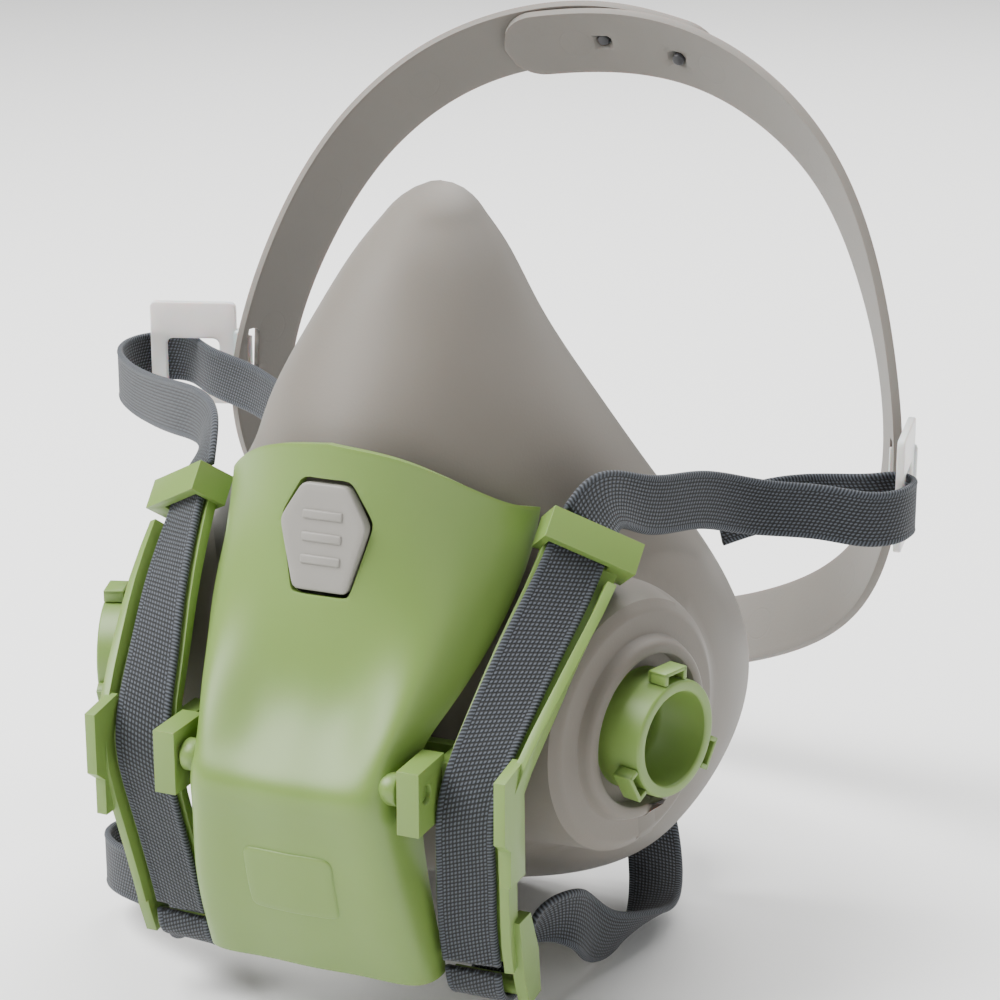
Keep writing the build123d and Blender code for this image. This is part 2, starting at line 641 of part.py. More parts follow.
UPPER_LEFT = [
    ((-45.55, -61, 18.2), (-0.79, 0.33, -0.51)), ((-47.5, -53.5, 22.5), (-0.6, 0.3, -0.74)),
    ((-54, -42, 24), (-0.3, 0.2, -0.93)), ((-69, -27, 21.5), (-0.1, 0, -1)), ((-88, -8, 17.2), (0, 0, -1)),
    ((-105, 10, 14.8), (0, 0, -1)), ((-112, 20, 14.5), (0, 0, -1)), ((-114, 29, 14.5), (0, 0, -1)),
    ((-111, 36.2, 14.5), (0, 0, -1)), ((-104, 38.2, 14.5), (0, 0, -1)), ((-97.5, 34.2, 14.5), (0, 0, -1)),
    ((-91, 28.5, 14.5), (0, 0, -1)), ((-76, 20, 14), (0, 0, -1)), ((-61, 9, 13), (0, 0, -1)),
]


def webbing(name, rows, count):
    """A length of webbing along its rows."""
    with BuildPart() as strap:
        ribbon(ribbon_planes([p for p, w in rows], [w for p, w in rows], count), WEB_WIDTH, WEB_THICKNESS)
    write(strap, name)


webbing("upper_strap_right", UPPER_RIGHT, 40)
webbing("upper_strap_left", UPPER_LEFT, 40)

# ---------------------------------------------------------------- lower straps and neck clasp
LOWER_RIGHT = [
    ((33.9, -93.9, -69.8), (1, 0, 0)), ((34, -92.3, -75), (1, 0, 0)), ((34.2, -88.4, -77.4), (1, 0, 0)),
    ((35, -83.8, -75.6), (1, 0.1, 0.1)), ((37.6, -78, -69.1), (0.75, 0.2, 0.6)),
    ((42.8, -68.4, -67.3), (0.1, -0.3, 0.95)), ((45.3, -52.1, -78.6), (0.2, 0.1, 0.95)),
    ((46.7, -34.4, -85), (0.6, 0.1, 0.75)), ((45.3, -16.7, -87), (0.95, 0, 0.3)),
    ((40.4, -2.1, -82), (1, 0.1, 0)), ((34.8, 7.1, -74), (0.95, 0.1, 0.2)),
    ((27.4, 14, -63.5), (0.7, 0, 0.7)), ((19.5, 20, -54), (0.6, 0, 0.75)),
]
LOWER_LEFT = [
    ((-33.9, -93.9, -69.8), (1, 0, 0)), ((-34, -92.3, -75), (1, 0, 0)), ((-34.2, -88.4, -77.4), (1, 0, 0)),
    ((-36, -83.8, -76.4), (0.75, 0, 0.6)), ((-44, -79, -74), (0, 0.1, 1)), ((-58, -74, -74), (0, 0, 1)),
    ((-69, -66, -75.5), (0, 0, 1)), ((-72.5, -56, -77), (0, 0, 1)), ((-67, -46, -78), (0, 0, 1)),
    ((-58, -37, -79.5), (0.2, 0, 1)), ((-50.5, -25, -82.5), (0.5, 0.1, 0.85)), ((-45, -10, -83), (0.9, 0, 0.3)),
    ((-38, 4, -76), (1, 0, -0.2)), ((-29, 13, -65), (0.75, 0, -0.65)), ((-19.5, 18.5, -54), (0.6, 0, -0.75)),
]
webbing("lower_strap_right", LOWER_RIGHT, 44)
webbing("lower_strap_left", LOWER_LEFT, 48)

CLASP_Y = 19.5
CLASP_Z = -51
CLASP_THICKNESS = 2.2
CLASP_GAP = 0.5
CLASP_SIZE = (19, 17)
CLASP_SHIFT = 5.5
CLASP_PEG_R = 2.6
clasp_plane = Plane(origin=(0, CLASP_Y, CLASP_Z), x_dir=(-1, 0, 0), z_dir=(0, 1, 0))

with BuildPart() as neck_catch:
    with BuildSketch(clasp_plane):
        with Locations((CLASP_SHIFT, 0)):
            RectangleRounded(*CLASP_SIZE, 2.5)
    extrude(amount=CLASP_THICKNESS)
    with BuildSketch(clasp_plane.offset(CLASP_THICKNESS)):
        Circle(CLASP_PEG_R)
    extrude(amount=CLASP_GAP + CLASP_THICKNESS + 0.6)
write(neck_catch, "neck_catch")

with BuildPart() as neck_hook:
    with BuildSketch(clasp_plane.offset(CLASP_THICKNESS + CLASP_GAP)):
        with Locations((-CLASP_SHIFT, 0)):
            RectangleRounded(*CLASP_SIZE, 2.5)
        Circle(CLASP_PEG_R + PIN_CLEARANCE, mode=Mode.SUBTRACT)
    extrude(amount=CLASP_THICKNESS)
write(neck_hook, "neck_hook")
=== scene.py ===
import math

import bmesh
import bpy
import numpy as np
from mathutils import Matrix, Vector
from mathutils.bvhtree import BVHTree


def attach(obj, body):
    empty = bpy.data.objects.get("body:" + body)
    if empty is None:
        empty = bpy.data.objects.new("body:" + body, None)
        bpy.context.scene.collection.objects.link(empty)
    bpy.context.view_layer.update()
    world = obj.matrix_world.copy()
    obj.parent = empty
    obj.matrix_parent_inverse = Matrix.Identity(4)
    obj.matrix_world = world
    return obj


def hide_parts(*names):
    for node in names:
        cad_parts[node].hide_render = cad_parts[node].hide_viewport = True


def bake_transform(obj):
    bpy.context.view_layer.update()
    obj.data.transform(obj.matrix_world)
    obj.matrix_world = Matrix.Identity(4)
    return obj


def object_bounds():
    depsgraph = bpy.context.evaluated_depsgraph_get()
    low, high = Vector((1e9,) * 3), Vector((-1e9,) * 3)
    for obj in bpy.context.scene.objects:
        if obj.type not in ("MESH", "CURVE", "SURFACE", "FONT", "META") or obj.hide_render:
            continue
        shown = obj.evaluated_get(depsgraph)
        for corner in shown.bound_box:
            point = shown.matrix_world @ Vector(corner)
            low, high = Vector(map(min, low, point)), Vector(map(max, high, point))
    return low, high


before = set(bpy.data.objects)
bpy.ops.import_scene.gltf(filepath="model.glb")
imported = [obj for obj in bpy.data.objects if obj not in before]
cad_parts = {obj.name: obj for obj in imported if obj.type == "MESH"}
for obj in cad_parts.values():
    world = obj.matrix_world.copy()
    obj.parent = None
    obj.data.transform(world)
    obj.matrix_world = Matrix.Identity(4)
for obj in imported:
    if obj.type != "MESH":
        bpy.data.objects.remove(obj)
cad_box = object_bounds()
MM = 0.001

# ---------------------------------------------------------------- camera, lights and floor
# The mask hangs in plain soft studio light: a large softbox high on the left, a weaker
# one on the right, and a pale floor under its lowest point.
camera = bpy.data.objects.new("camera", bpy.data.cameras.new("camera"))
camera.data.lens = 100.4
camera.data.sensor_width = 36
camera.location = (0.2409, -0.5677, 0.1956)
camera.rotation_euler = (-camera.location).to_track_quat("-Z", "Y").to_euler()
bpy.context.scene.collection.objects.link(camera)
bpy.context.scene.camera = camera

SOFTBOXES = [
    ("softbox_left", (-0.7, -0.5, 1.05), 0.9, 46),
    ("softbox_right", (0.95, -0.75, 0.4), 0.7, 3),
    ("softbox_top", (0.1, 0.9, 1.3), 1.4, 46),
]
for name, place, size, power in SOFTBOXES:
    light = bpy.data.objects.new(name, bpy.data.lights.new(name, "AREA"))
    light.data.shape = "SQUARE"
    light.data.size = size
    light.data.energy = power
    light.location = place
    light.rotation_euler = (-light.location).to_track_quat("-Z", "Y").to_euler()
    bpy.context.scene.collection.objects.link(light)


def linear(hex_colour):
    """An sRGB hex colour as linear RGBA."""
    parts = [int(hex_colour[i:i + 2], 16) / 255 for i in (1, 3, 5)]
    return tuple(c / 12.92 if c <= 0.04045 else ((c + 0.055) / 1.055) ** 2.4 for c in parts) + (1,)


def node(tree, kind, links=None, **settings):
    """Add a shader node with its settings. A link is a value or another node's output."""
    new = tree.nodes.new("ShaderNode" + kind)
    for key, value in settings.items():
        setattr(new, key, value)
    for key, value in (links or {}).items():
        if isinstance(value, bpy.types.NodeSocket):
            tree.links.new(value, new.inputs[key])
        else:
            new.inputs[key].default_value = value
    return new


def material(name, **sockets):
    """A principled material and its node tree, with constants on the shader's sockets."""
    new = bpy.data.materials.new(name)
    new.use_nodes = True
    shader = new.node_tree.nodes["Principled BSDF"]
    for key, value in sockets.items():
        shader.inputs[key.replace("_", " ")].default_value = value
    return new, new.node_tree, shader


world = bpy.data.worlds.new("studio")
bpy.context.scene.world = world
world.use_nodes = True
world.node_tree.nodes["Background"].inputs["Color"].default_value = linear("#FBFBFA")
world.node_tree.nodes["Background"].inputs["Strength"].default_value = 0.32

floor_mesh = bmesh.new()
bmesh.ops.create_circle(floor_mesh, cap_ends=True, segments=64, radius=4)
bmesh.ops.translate(floor_mesh, verts=floor_mesh.verts, vec=(0, 0, cad_box[0][2] - 0.001))
floor = bpy.data.objects.new("floor", bpy.data.meshes.new("floor"))
floor_mesh.to_mesh(floor.data)
bpy.context.scene.collection.objects.link(floor)
# painted studio paper: matt and pale, with a faint unevenness
paper, tree, shader = material("studio_paper", Roughness=0.9)
cloudy = node(tree, "TexNoise", {"Scale": 3.0, "Detail": 3.0})
tint = node(tree, "MixRGB", {0: cloudy.outputs[0], 1: linear("#F3F3F2"), 2: linear("#F7F7F6")})
tree.links.new(tint.outputs[0], shader.inputs["Base Color"])
floor.data.materials.append(paper)

# ---------------------------------------------------------------- facepiece
# The half mask itself: one liquid-silicone moulding, 2.6 mm thick, warm grey and matt.
# A nose cone, two round cheeks stepped in to the filter ports, and a turned-in face seal.
WALL = 2.6
FACE_SECTIONS = [
    (74.5, [(9.5, -30), (10.3, -35), (9.6, -41), (6.5, -46.5), (0, -49)]),
    (68, [(14, -29), (15, -37), (13.5, -46.5), (8.5, -54.5), (0, -58)]),
    (55, [(20.5, -27), (22, -38), (20.5, -51.5), (13, -64.5), (0, -69)]),
    (36, [(31.5, -22), (33, -38), (30, -55.5), (19.5, -72.5), (0, -82)]),
    (18, [(43, -17), (44.5, -36), (38, -54), (24, -74), (0, -85.5)]),
    (0, [(53, -9), (57, -30), (51, -52), (34, -73), (0, -86)]),
    (-24, [(60.6, 0), (64.5, -22), (61, -50), (43, -75), (0, -86)]),
    (-45, [(59, 3), (62, -22), (57, -48), (38, -72), (0, -83.5)]),
    (-65, [(50, 2), (51, -18), (45, -40), (28, -56), (0, -62)]),
    (-80, [(33, -2), (33, -12), (27, -22), (14, -30), (0, -33)]),
    (-88, [(12, -5), (12, -8), (9, -11), (4, -13), (0, -14)]),
]
# the opening inside the lip: half width at each height
LIP_EDGE = [(0, 60), (12, 50), (23, 30), (36, 8), (45, -14), (48, -34), (43, -55), (28, -70), (0, -77)]
LIP_DROP = 2.5                # how far the lip's edge turns in towards the front
LIP_ROLL = 1.6                # how far the seal's rolled edge stands back
FACE_ROWS = 84
FACE_COLUMNS = 96
LIP_COLUMNS = 8
PORT_CENTRE = Vector((67, -65.5, -24))
PORT_TURN = math.radians(18.4)
# rings from the cheek in to the tube: radius, and how far back from the port's mouth
PORT_RINGS = [
    (27.0, -11.6), (25.6, -10.7), (25.0, -10.15), (24.3, -10.0), (20.6, -9.9), (20.0, -9.75), (19.7, -9.2),
    (19.4, -8.4), (18.9, -7.4), (18.3, -7.0), (17.0, -6.9), (16.5, -7.1), (16.3, -7.8),
    (16.2, -10.6), (12.9, -10.6),
]
PORT_HOLE = 29.5


def smooth(points, count, marks=None):
    """Evenly spaced points on a smooth line through the given ones."""
    points = np.array(points, float)
    if marks is None:
        steps = np.linalg.norm(np.diff(points, axis=0).reshape(len(points) - 1, -1), axis=1)
        marks = np.concatenate(([0], np.cumsum(steps)))
    marks = np.array(marks, float)
    flat = points.reshape(len(points), -1)
    gaps = np.diff(marks)
    bends = np.eye(len(marks))
    change = np.zeros_like(flat)
    for i in range(1, len(marks) - 1):
        bends[i, i - 1:i + 2] = gaps[i - 1], 2 * (gaps[i - 1] + gaps[i]), gaps[i]
        change[i] = 6 * ((flat[i + 1] - flat[i]) / gaps[i] - (flat[i] - flat[i - 1]) / gaps[i - 1])
    curve = np.linalg.solve(bends, change)
    at = np.linspace(marks[0], marks[-1], count + 1)
    k = np.clip(np.searchsorted(marks, at) - 1, 0, len(gaps) - 1)
    b = ((at - marks[k]) / gaps[k])[:, None]
    a = 1 - b
    line = a * flat[k] + b * flat[k + 1]
    line += ((a ** 3 - a) * curve[k] + (b ** 3 - b) * curve[k + 1]) * gaps[k][:, None] ** 2 / 6
    return line.reshape((count + 1,) + points.shape[1:])


def sheet_of(grid, uv=None):
    """A sheet of quads through a grid of points in millimetres, with UV in metres."""
    rows, columns = grid.shape[:2]
    bm = bmesh.new()
    layer = bm.loops.layers.uv.new("UVMap")
    bmesh.ops.create_grid(bm, x_segments=columns - 1, y_segments=rows - 1, size=1, calc_uvs=True)
    half = max(v.co.x for v in bm.verts)
    for v in bm.verts:
        i = round((v.co.y / half + 1) / 2 * (rows - 1))
        j = round((v.co.x / half + 1) / 2 * (columns - 1))
        v.co = Vector(grid[i, j]) * MM
        if uv is not None:
            for loop in v.link_loops:
                loop[layer].uv = Vector(uv[i, j]) * MM
    return bm


def face_out(bm, centre):
    """Turn a shell so that its faces look away from a point inside it."""
    lean = sum(f.normal.dot(f.calc_center_median() - centre) * f.calc_area() for f in bm.faces)
    if lean < 0:
        bmesh.ops.reverse_faces(bm, faces=bm.faces)


def open_up(bm, place, outline, reach):
    """Cut a hole through a sheet and return its edges. The outline is a radius by angle
    round the place's Z, and the hole's edge is moved on to it along that Z."""
    tree = BVHTree.FromBMesh(bm)
    back = place.inverted()
    gone = []
    for face in bm.faces:
        p = back @ face.calc_center_median()
        if abs(p.z) < reach and math.hypot(p.x, p.y) < outline(math.atan2(p.y, p.x)):
            gone.append(face)
    near = dict.fromkeys(e for f in gone for e in f.edges)
    bmesh.ops.delete(bm, geom=gone, context="FACES")
    rim = [e for e in near if e.is_valid and e.is_boundary]
    down = place.to_3x3() @ Vector((0, 0, -1))
    for v in dict.fromkeys(v for e in rim for v in e.verts):
        p = back @ v.co
        angle = math.atan2(p.y, p.x)
        radius = outline(angle)
        start = place @ Vector((radius * math.cos(angle), radius * math.sin(angle), reach))
        hit = tree.ray_cast(start, down, 2 * reach)[0]
        v.co = hit or place @ Vector((radius * math.cos(angle), radius * math.sin(angle), p.z))
    return rim


def place_of(x_way, y_way, z_way, at):
    """A place with the given axes, at a point in millimetres."""
    place = Matrix((x_way, y_way, z_way)).transposed().to_4x4()
    place.translation = Vector(at) * MM
    return place


def edges_of(verts):
    """The edges that meet some vertices, always in the same order."""
    return list(dict.fromkeys(e for v in verts for e in v.link_edges))


def drawn_in(bm, rim, place, rings):
    """Extrude a round hole's edge through rings of (radius, height) in metres."""
    back = place.inverted()
    for radius, height in rings:
        new = bmesh.ops.extrude_edge_only(bm, edges=rim)["geom"]
        verts = [g for g in new if isinstance(g, bmesh.types.BMVert)]
        outer = set(verts)
        rim = [g for g in new if isinstance(g, bmesh.types.BMEdge) and outer.issuperset(g.verts)]
        for v in verts:
            p = back @ v.co
            angle = math.atan2(p.y, p.x)
            v.co = place @ Vector((radius * math.cos(angle), radius * math.sin(angle), height))
    return rim


def piece(name, bm, finish, body, *stands_for):
    """Make a smooth-shaded object from a mesh, with its material, body and CAD nodes."""
    mesh = bpy.data.meshes.new(name)
    bm.to_mesh(mesh)
    bm.free()
    mesh.shade_smooth()
    mesh.materials.append(finish)
    obj = bpy.data.objects.new(name, mesh)
    bpy.context.scene.collection.objects.link(obj)
    if body:
        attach(obj, body)
    if stands_for:
        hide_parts(*stands_for)
    return obj


def solid(obj, thickness, offset):
    """Give a sheet its wall."""
    wall = obj.modifiers.new("wall", "SOLIDIFY")
    wall.thickness = thickness * MM
    wall.offset = offset
    wall.use_quality_normals = True


def soften(obj, width, segments=2, angle=40):
    """Round a piece's edges."""
    edge = obj.modifiers.new("edges", "BEVEL")
    edge.width = width * MM
    edge.segments = segments
    edge.limit_method = "ANGLE"
    edge.angle_limit = math.radians(angle)
    edge.harden_normals = False


lip_heights = [z for x, z in LIP_EDGE]
lip_line = smooth(LIP_EDGE, 60)
face_grid = []
for z, half in FACE_SECTIONS:
    around = [(x, y, z) for x, y in half] + [(-x, y, z) for x, y in reversed(half[:-1])]
    face_grid.append(smooth(around, FACE_COLUMNS))
marks = [0]
for (z0, _), (z1, _) in zip(FACE_SECTIONS, FACE_SECTIONS[1:]):
    marks.append(marks[-1] + math.hypot(z0 - z1, 6))
face_grid = smooth(face_grid, FACE_ROWS, marks)
# the cone's tip and the chin close on short lines
TIP_RISE = 6.4
TIP_Y = -32                   # the tip leans back from the front of the nose
CHIN_DROP = 2.2
tip = np.array((0, TIP_Y, 0))
chin = face_grid[-1].mean(0)
# the caps' rings: share of the end row, and share of the rise
CAP = [(0.93, 0.16), (0.84, 0.34), (0.7, 0.56), (0.5, 0.78), (0.26, 0.94), (0.02, 1.0)]
tip_rows = []
chin_rows = []
for share, rise in CAP:
    tip_row = tip + (face_grid[0] - tip) * share
    chin_row = chin + (face_grid[-1] - chin) * share
    tip_row[:, 2] = face_grid[0][0][2] + TIP_RISE * rise
    chin_row[:, 2] = face_grid[-1][0][2] - CHIN_DROP * rise
    tip_rows.insert(0, tip_row)
    chin_rows.append(chin_row)
face_grid = np.concatenate((tip_rows, face_grid, chin_rows))
# the lip turns in from the seal's edge to the face opening
turned = []
for row in face_grid:
    z = row[0][2]
    inner = float(np.interp(-z, -lip_line[:, 1], lip_line[:, 0]))
    if z > lip_heights[0] or z < lip_heights[-1]:
        inner = 0.0
    inner = min(inner, row[0][0] * 0.86)
    fullness = min(1, max(0, (row[0][0] - 3) / 12))
    lip = []
    for k in range(LIP_COLUMNS):
        s = 1 - k / LIP_COLUMNS
        x = row[0][0] + (inner - row[0][0]) * s
        y = row[0][1] + fullness * (LIP_ROLL * math.sin(math.pi * min(1, s * 1.6)) - LIP_DROP * s ** 2)
        lip.append((x, y, z))
    lip = np.array(lip)
    other = lip[::-1] * np.array([-1, 1, 1])
    turned.append(np.concatenate((lip, row, other)))
face = sheet_of(np.array(turned))
bmesh.ops.remove_doubles(face, verts=face.verts, dist=0.3 * MM)
face_out(face, Vector((0, -35, -20)) * MM)


def port_place(side):
    """The middle of a port's mouth, with Z looking out along its axis."""
    out = Vector((side * math.cos(PORT_TURN), -math.sin(PORT_TURN), 0))
    place = out.to_track_quat("Z", "Y").to_matrix().to_4x4()
    place.translation = Vector((side * PORT_CENTRE.x, PORT_CENTRE.y, PORT_CENTRE.z)) * MM
    return place


for side in (1, -1):
    rim = open_up(face, port_place(side), lambda angle: PORT_HOLE * MM, 45 * MM)
    drawn_in(face, rim, port_place(side), [(r * MM, h * MM) for r, h in PORT_RINGS])

# LSR silicone moulded in a spark-eroded tool: dead matt, faintly mottled, soft to light
silicone, tree, shader = material("moulded_silicone_facepiece", Roughness=0.58, IOR=1.41)
shader.inputs["Subsurface Weight"].default_value = 0.06
shader.inputs["Subsurface Scale"].default_value = 0.004
shader.inputs["Sheen Weight"].default_value = 0.12
shader.inputs["Sheen Roughness"].default_value = 0.6
place = node(tree, "TexCoord").outputs["Object"]
mottle = node(tree, "TexNoise", {"Vector": place, "Scale": 28.0, "Detail": 4.0})
tint = node(tree, "MixRGB", {0: mottle.outputs[0], 1: linear("#645E56"), 2: linear("#6D675E")})
grain = node(tree, "TexNoise", {"Vector": place, "Scale": 1600.0, "Detail": 2.0})
bump = node(tree, "Bump", {"Height": grain.outputs[0], "Strength": 0.12, "Distance": 0.0002})
tree.links.new(tint.outputs[0], shader.inputs["Base Color"])
tree.links.new(bump.outputs[0], shader.inputs["Normal"])

facepiece = piece("silicone_facepiece", face, silicone, "mask", "facepiece")
solid(facepiece, WALL, -1)
soften(facepiece, 0.8)

# ---------------------------------------------------------------- front cover
# A thin injection-moulded shell over the exhalation valve, satin green, with two soft
# ridges down its front, a window for the size badge and pins that clip into the yoke.
COVER_WALL = 2.2
COVER_SECTIONS = [
    (40, [(33, -60), (30.5, -69), (24, -78.5), (13, -85.6), (0, -88)]),
    (20, [(34.9, -61), (31.5, -71), (24.5, -80.5), (13, -88.4), (0, -91)]),
    (0, [(33, -77), (29.2, -84), (24, -91.5), (12, -95), (0, -95.6)]),
    (-15, [(27.2, -92), (24.8, -98.5), (21.5, -104), (11, -102.5), (0, -102)]),
    (-22, [(24.2, -97), (23, -102), (20.4, -109), (10, -108.6), (0, -108.5)]),
    (-26, [(24, -97), (23, -104), (20.2, -111.3), (10, -112.4), (0, -112.6)]),
    (-35, [(24, -97), (23.4, -104), (21, -110.8), (10.5, -112.2), (0, -112.5)]),
    (-50, [(25.6, -97), (24.8, -101.5), (23, -107), (11.5, -108.8), (0, -109.2)]),
    (-73, [(26.2, -90), (26.2, -94), (25, -97.5), (13, -99.6), (0, -100)]),
]
TOP_EDGE = [(0, 37.5), (15, 34.8), (27, 27.6), (36, 19.5), (50, 6)]
COVER_LEVELS = 226
COVER_ROWS = 110
COVER_COLUMNS = 84
BADGE_Z = 18.8
BADGE_GAP = 0.7

cover_grid = []
for z, half in COVER_SECTIONS:
    around = [(x, y, z) for x, y in half] + [(-x, y, z) for x, y in reversed(half[:-1])]
    cover_grid.append(smooth(around, COVER_COLUMNS))
cover_grid = smooth(cover_grid, COVER_LEVELS, [-z for z, half in COVER_SECTIONS])
edge_line = smooth(TOP_EDGE, 60)
columns = []
for j in range(COVER_COLUMNS + 1):
    column = cover_grid[:, j]
    top = 30.0
    for _ in range(12):
        x = abs(float(np.interp(-top, -column[:, 2], column[:, 0])))
        top = float(np.interp(x, edge_line[:, 0], edge_line[:, 1]))
    heights = np.linspace(top, COVER_SECTIONS[-1][0], COVER_ROWS + 1)
    columns.append(np.stack([np.interp(-heights, -column[:, 2], column[:, k]) for k in range(3)], 1))
cover = sheet_of(np.array(columns).transpose(1, 0, 2))
face_out(cover, Vector((0, -70, -20)) * MM)


def plate_outline(corners, power=14):
    """A rounded plate's radius by angle, from its corners in millimetres."""
    sides = []
    for (x0, y0), (x1, y1) in zip(corners, corners[1:] + corners[:1]):
        length = math.hypot(x1 - x0, y1 - y0)
        nx, ny = (y1 - y0) / length, (x0 - x1) / length
        away = x0 * nx + y0 * ny
        if away < 0:
            nx, ny, away = -nx, -ny, -away
        sides.append((math.atan2(ny, nx), away))

    def radius(angle):
        total = sum((max(0, math.cos(angle - turn)) / away) ** power for turn, away in sides)
        return total ** (-1 / power) * MM
    return radius


def badge_corners(grow):
    """The badge's six corners, grown by a margin."""
    w, h = 9.75 + grow, 11 + grow
    return [(-w, h * 0.28), (-w * 0.52, h), (w * 0.52, h), (w, h * 0.28), (w * 0.62, -h), (-w * 0.62, -h)]


def looking_front(x, y, z):
    """A place whose Z looks to the front, its X to the right and its Y up."""
    place = Matrix.Rotation(math.radians(90), 4, "X")
    place.translation = Vector((x, y, z)) * MM
    return place


cover_front = BVHTree.FromBMesh(cover)
open_up(cover, looking_front(0, -90, BADGE_Z), plate_outline(badge_corners(BADGE_GAP), 22), 20 * MM)


def raised_plate(place, outline, profile, onto=None, turns=96):
    """A plate made of rings of (share of the outline, height), laid on to a surface."""
    grid = []
    for share, height in profile:
        ring = []
        for k in range(turns + 1):
            angle = 2 * math.pi * k / turns
            radius = outline(angle) * share
            p = place @ Vector((radius * math.cos(angle), radius * math.sin(angle), 0))
            if onto:
                p = onto.ray_cast(p + Vector((0, -0.05, 0)), Vector((0, 1, 0)))[0] or p
            ring.append(tuple((p + Vector((0, -height * MM, 0))) / MM))
        grid.append(ring)
    bm = sheet_of(np.array(grid))
    bmesh.ops.remove_doubles(bm, verts=bm.verts, dist=0.02 * MM)
    bmesh.ops.recalc_face_normals(bm, faces=bm.faces)
    lean = sum(f.normal.y * f.calc_area() for f in bm.faces)
    if lean > 0:
        bmesh.ops.reverse_faces(bm, faces=bm.faces)
    return bm


# ABS-like polypropylene from a polished tool with a light texture: satin, long soft
# highlights, a little lighter where the wall is thin
green, tree, shader = material("moulded_green_polypropylene", Roughness=0.45, IOR=1.49)
shader.inputs["Subsurface Weight"].default_value = 0.05
shader.inputs["Subsurface Scale"].default_value = 0.003
shader.inputs["Coat Weight"].default_value = 0.08
shader.inputs["Coat Roughness"].default_value = 0.3
place = node(tree, "TexCoord").outputs["Object"]
flow = node(tree, "TexNoise", {"Vector": place, "Scale": 18.0, "Detail": 3.0})
tint = node(tree, "MixRGB", {0: flow.outputs[0], 1: linear("#66803A"), 2: linear("#6F8A43")})
grain = node(tree, "TexNoise", {"Vector": place, "Scale": 2200.0, "Detail": 2.0})
rough = node(tree, "MapRange", {0: flow.outputs[0], 3: 0.42, 4: 0.52})
bump = node(tree, "Bump", {"Height": grain.outputs[0], "Strength": 0.10, "Distance": 0.0001})
tree.links.new(tint.outputs[0], shader.inputs["Base Color"])
tree.links.new(rough.outputs[0], shader.inputs["Roughness"])
tree.links.new(bump.outputs[0], shader.inputs["Normal"])

cover_shell = piece("cover_shell", cover, green, "cover", "front_cover")
solid(cover_shell, COVER_WALL, -1)
soften(cover_shell, 0.6)

pad_corners = [(-10, -7.5), (10, -7.5), (10, 7.5), (-10, 7.5)]
PAD_PROFILE = [
    (1.03, -0.4), (1.0, 0.1), (0.985, 0.3), (0.955, 0.4), (0.8, 0.4), (0.5, 0.4), (0.2, 0.4), (0.001, 0.4),
]
pad = raised_plate(looking_front(0, -100, -50), plate_outline(pad_corners, 10), PAD_PROFILE, cover_front)
cover_pad = piece("cover_pad", pad, green, "cover")

for side, name in ((1, "right"), (-1, "left")):
    pin = bmesh.new()
    bmesh.ops.create_circle(pin, segments=32, radius=3.4 * MM)
    place = Matrix.Rotation(math.radians(90 * side), 4, "Y")
    place.translation = Vector((side * 19.5, -107, -26)) * MM
    bmesh.ops.transform(pin, matrix=place, verts=pin.verts)
    rim = list(pin.edges)
    drawn_in(pin, rim, place, [(r * MM, h * MM) for r, h in (
        (3.4, 4.2), (3.1, 4.6), (2.1, 4.7), (2.0, 4.9), (2.0, 9.0), (1.7, 9.35), (0.4, 9.4))])
    bmesh.ops.holes_fill(pin, edges=[e for e in pin.edges if e.is_boundary])
    bmesh.ops.recalc_face_normals(pin, faces=pin.faces)
    piece("cover_pin_" + name, pin, green, "cover")

# ---------------------------------------------------------------- size badge
# A grey rubber plug in the cover's window, pushed on to a stud. Three raised bars stand
# where a size mark would be.
BADGE_LEAN = math.radians(10)
BADGE_PROUD = -0.9
BADGE_PROFILE = [
    (1.0, -2.6), (1.0, -0.5), (0.985, -0.15), (0.955, 0.0), (0.8, 0.03), (0.4, 0.06), (0.001, 0.06),
]
badge = raised_plate(looking_front(0, -91, BADGE_Z), plate_outline(badge_corners(0), 22), BADGE_PROFILE)
for step in (-1, 0, 1):
    bar = bmesh.ops.create_cube(badge, size=1)["verts"]
    bmesh.ops.scale(badge, verts=bar, vec=Vector((9, 1.4, 1.9)) * MM)
    bmesh.ops.translate(badge, verts=bar, vec=Vector((0, -90.75, BADGE_Z + step * 4.6)) * MM)
    edges = edges_of(bar)
    bmesh.ops.bevel(badge, geom=edges, offset=0.4 * MM, segments=3, profile=0.5, affect="EDGES", material=-1)
# the plug leans back with the cover's slope
turn = Matrix.Rotation(-BADGE_LEAN, 3, "X")
bmesh.ops.rotate(badge, verts=badge.verts, cent=Vector((0, -91, BADGE_Z)) * MM, matrix=turn)
bmesh.ops.translate(badge, verts=badge.verts, vec=Vector((0, BADGE_PROUD, 0)) * MM)
badge_rubber, tree, shader = material("moulded_grey_rubber_badge", Roughness=0.5, IOR=1.45)
place = node(tree, "TexCoord").outputs["Object"]
mottle = node(tree, "TexNoise", {"Vector": place, "Scale": 60.0, "Detail": 4.0})
tint = node(tree, "MixRGB", {0: mottle.outputs[0], 1: linear("#86837D"), 2: linear("#908D87")})
tree.links.new(tint.outputs[0], shader.inputs["Base Color"])
badge_plug = piece("size_badge_plug", badge, badge_rubber, "mask", "size_badge")


# ---------------------------------------------------------------- harness yoke, ports and valves
# Rigid green mouldings: the yoke's two channels with their rims, tabs and blocks, and the
# bayonet tubes that take the filters, each with its nut and a thin silicone flap.
def rounded_copy(source, name, finish, body, width, segments=3, angle=30):
    """A CAD node's mesh, merged, with its edges rounded."""
    bm = bmesh.new()
    bm.from_mesh(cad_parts[source].data)
    bmesh.ops.remove_doubles(bm, verts=bm.verts, dist=0.002 * MM)
    bmesh.ops.dissolve_limit(bm, angle_limit=math.radians(1.5), verts=bm.verts, edges=bm.edges)
    obj = piece(name, bm, finish, body, source)
    soften(obj, width, segments, angle)
    obj.modifiers["edges"].harden_normals = True
    return obj


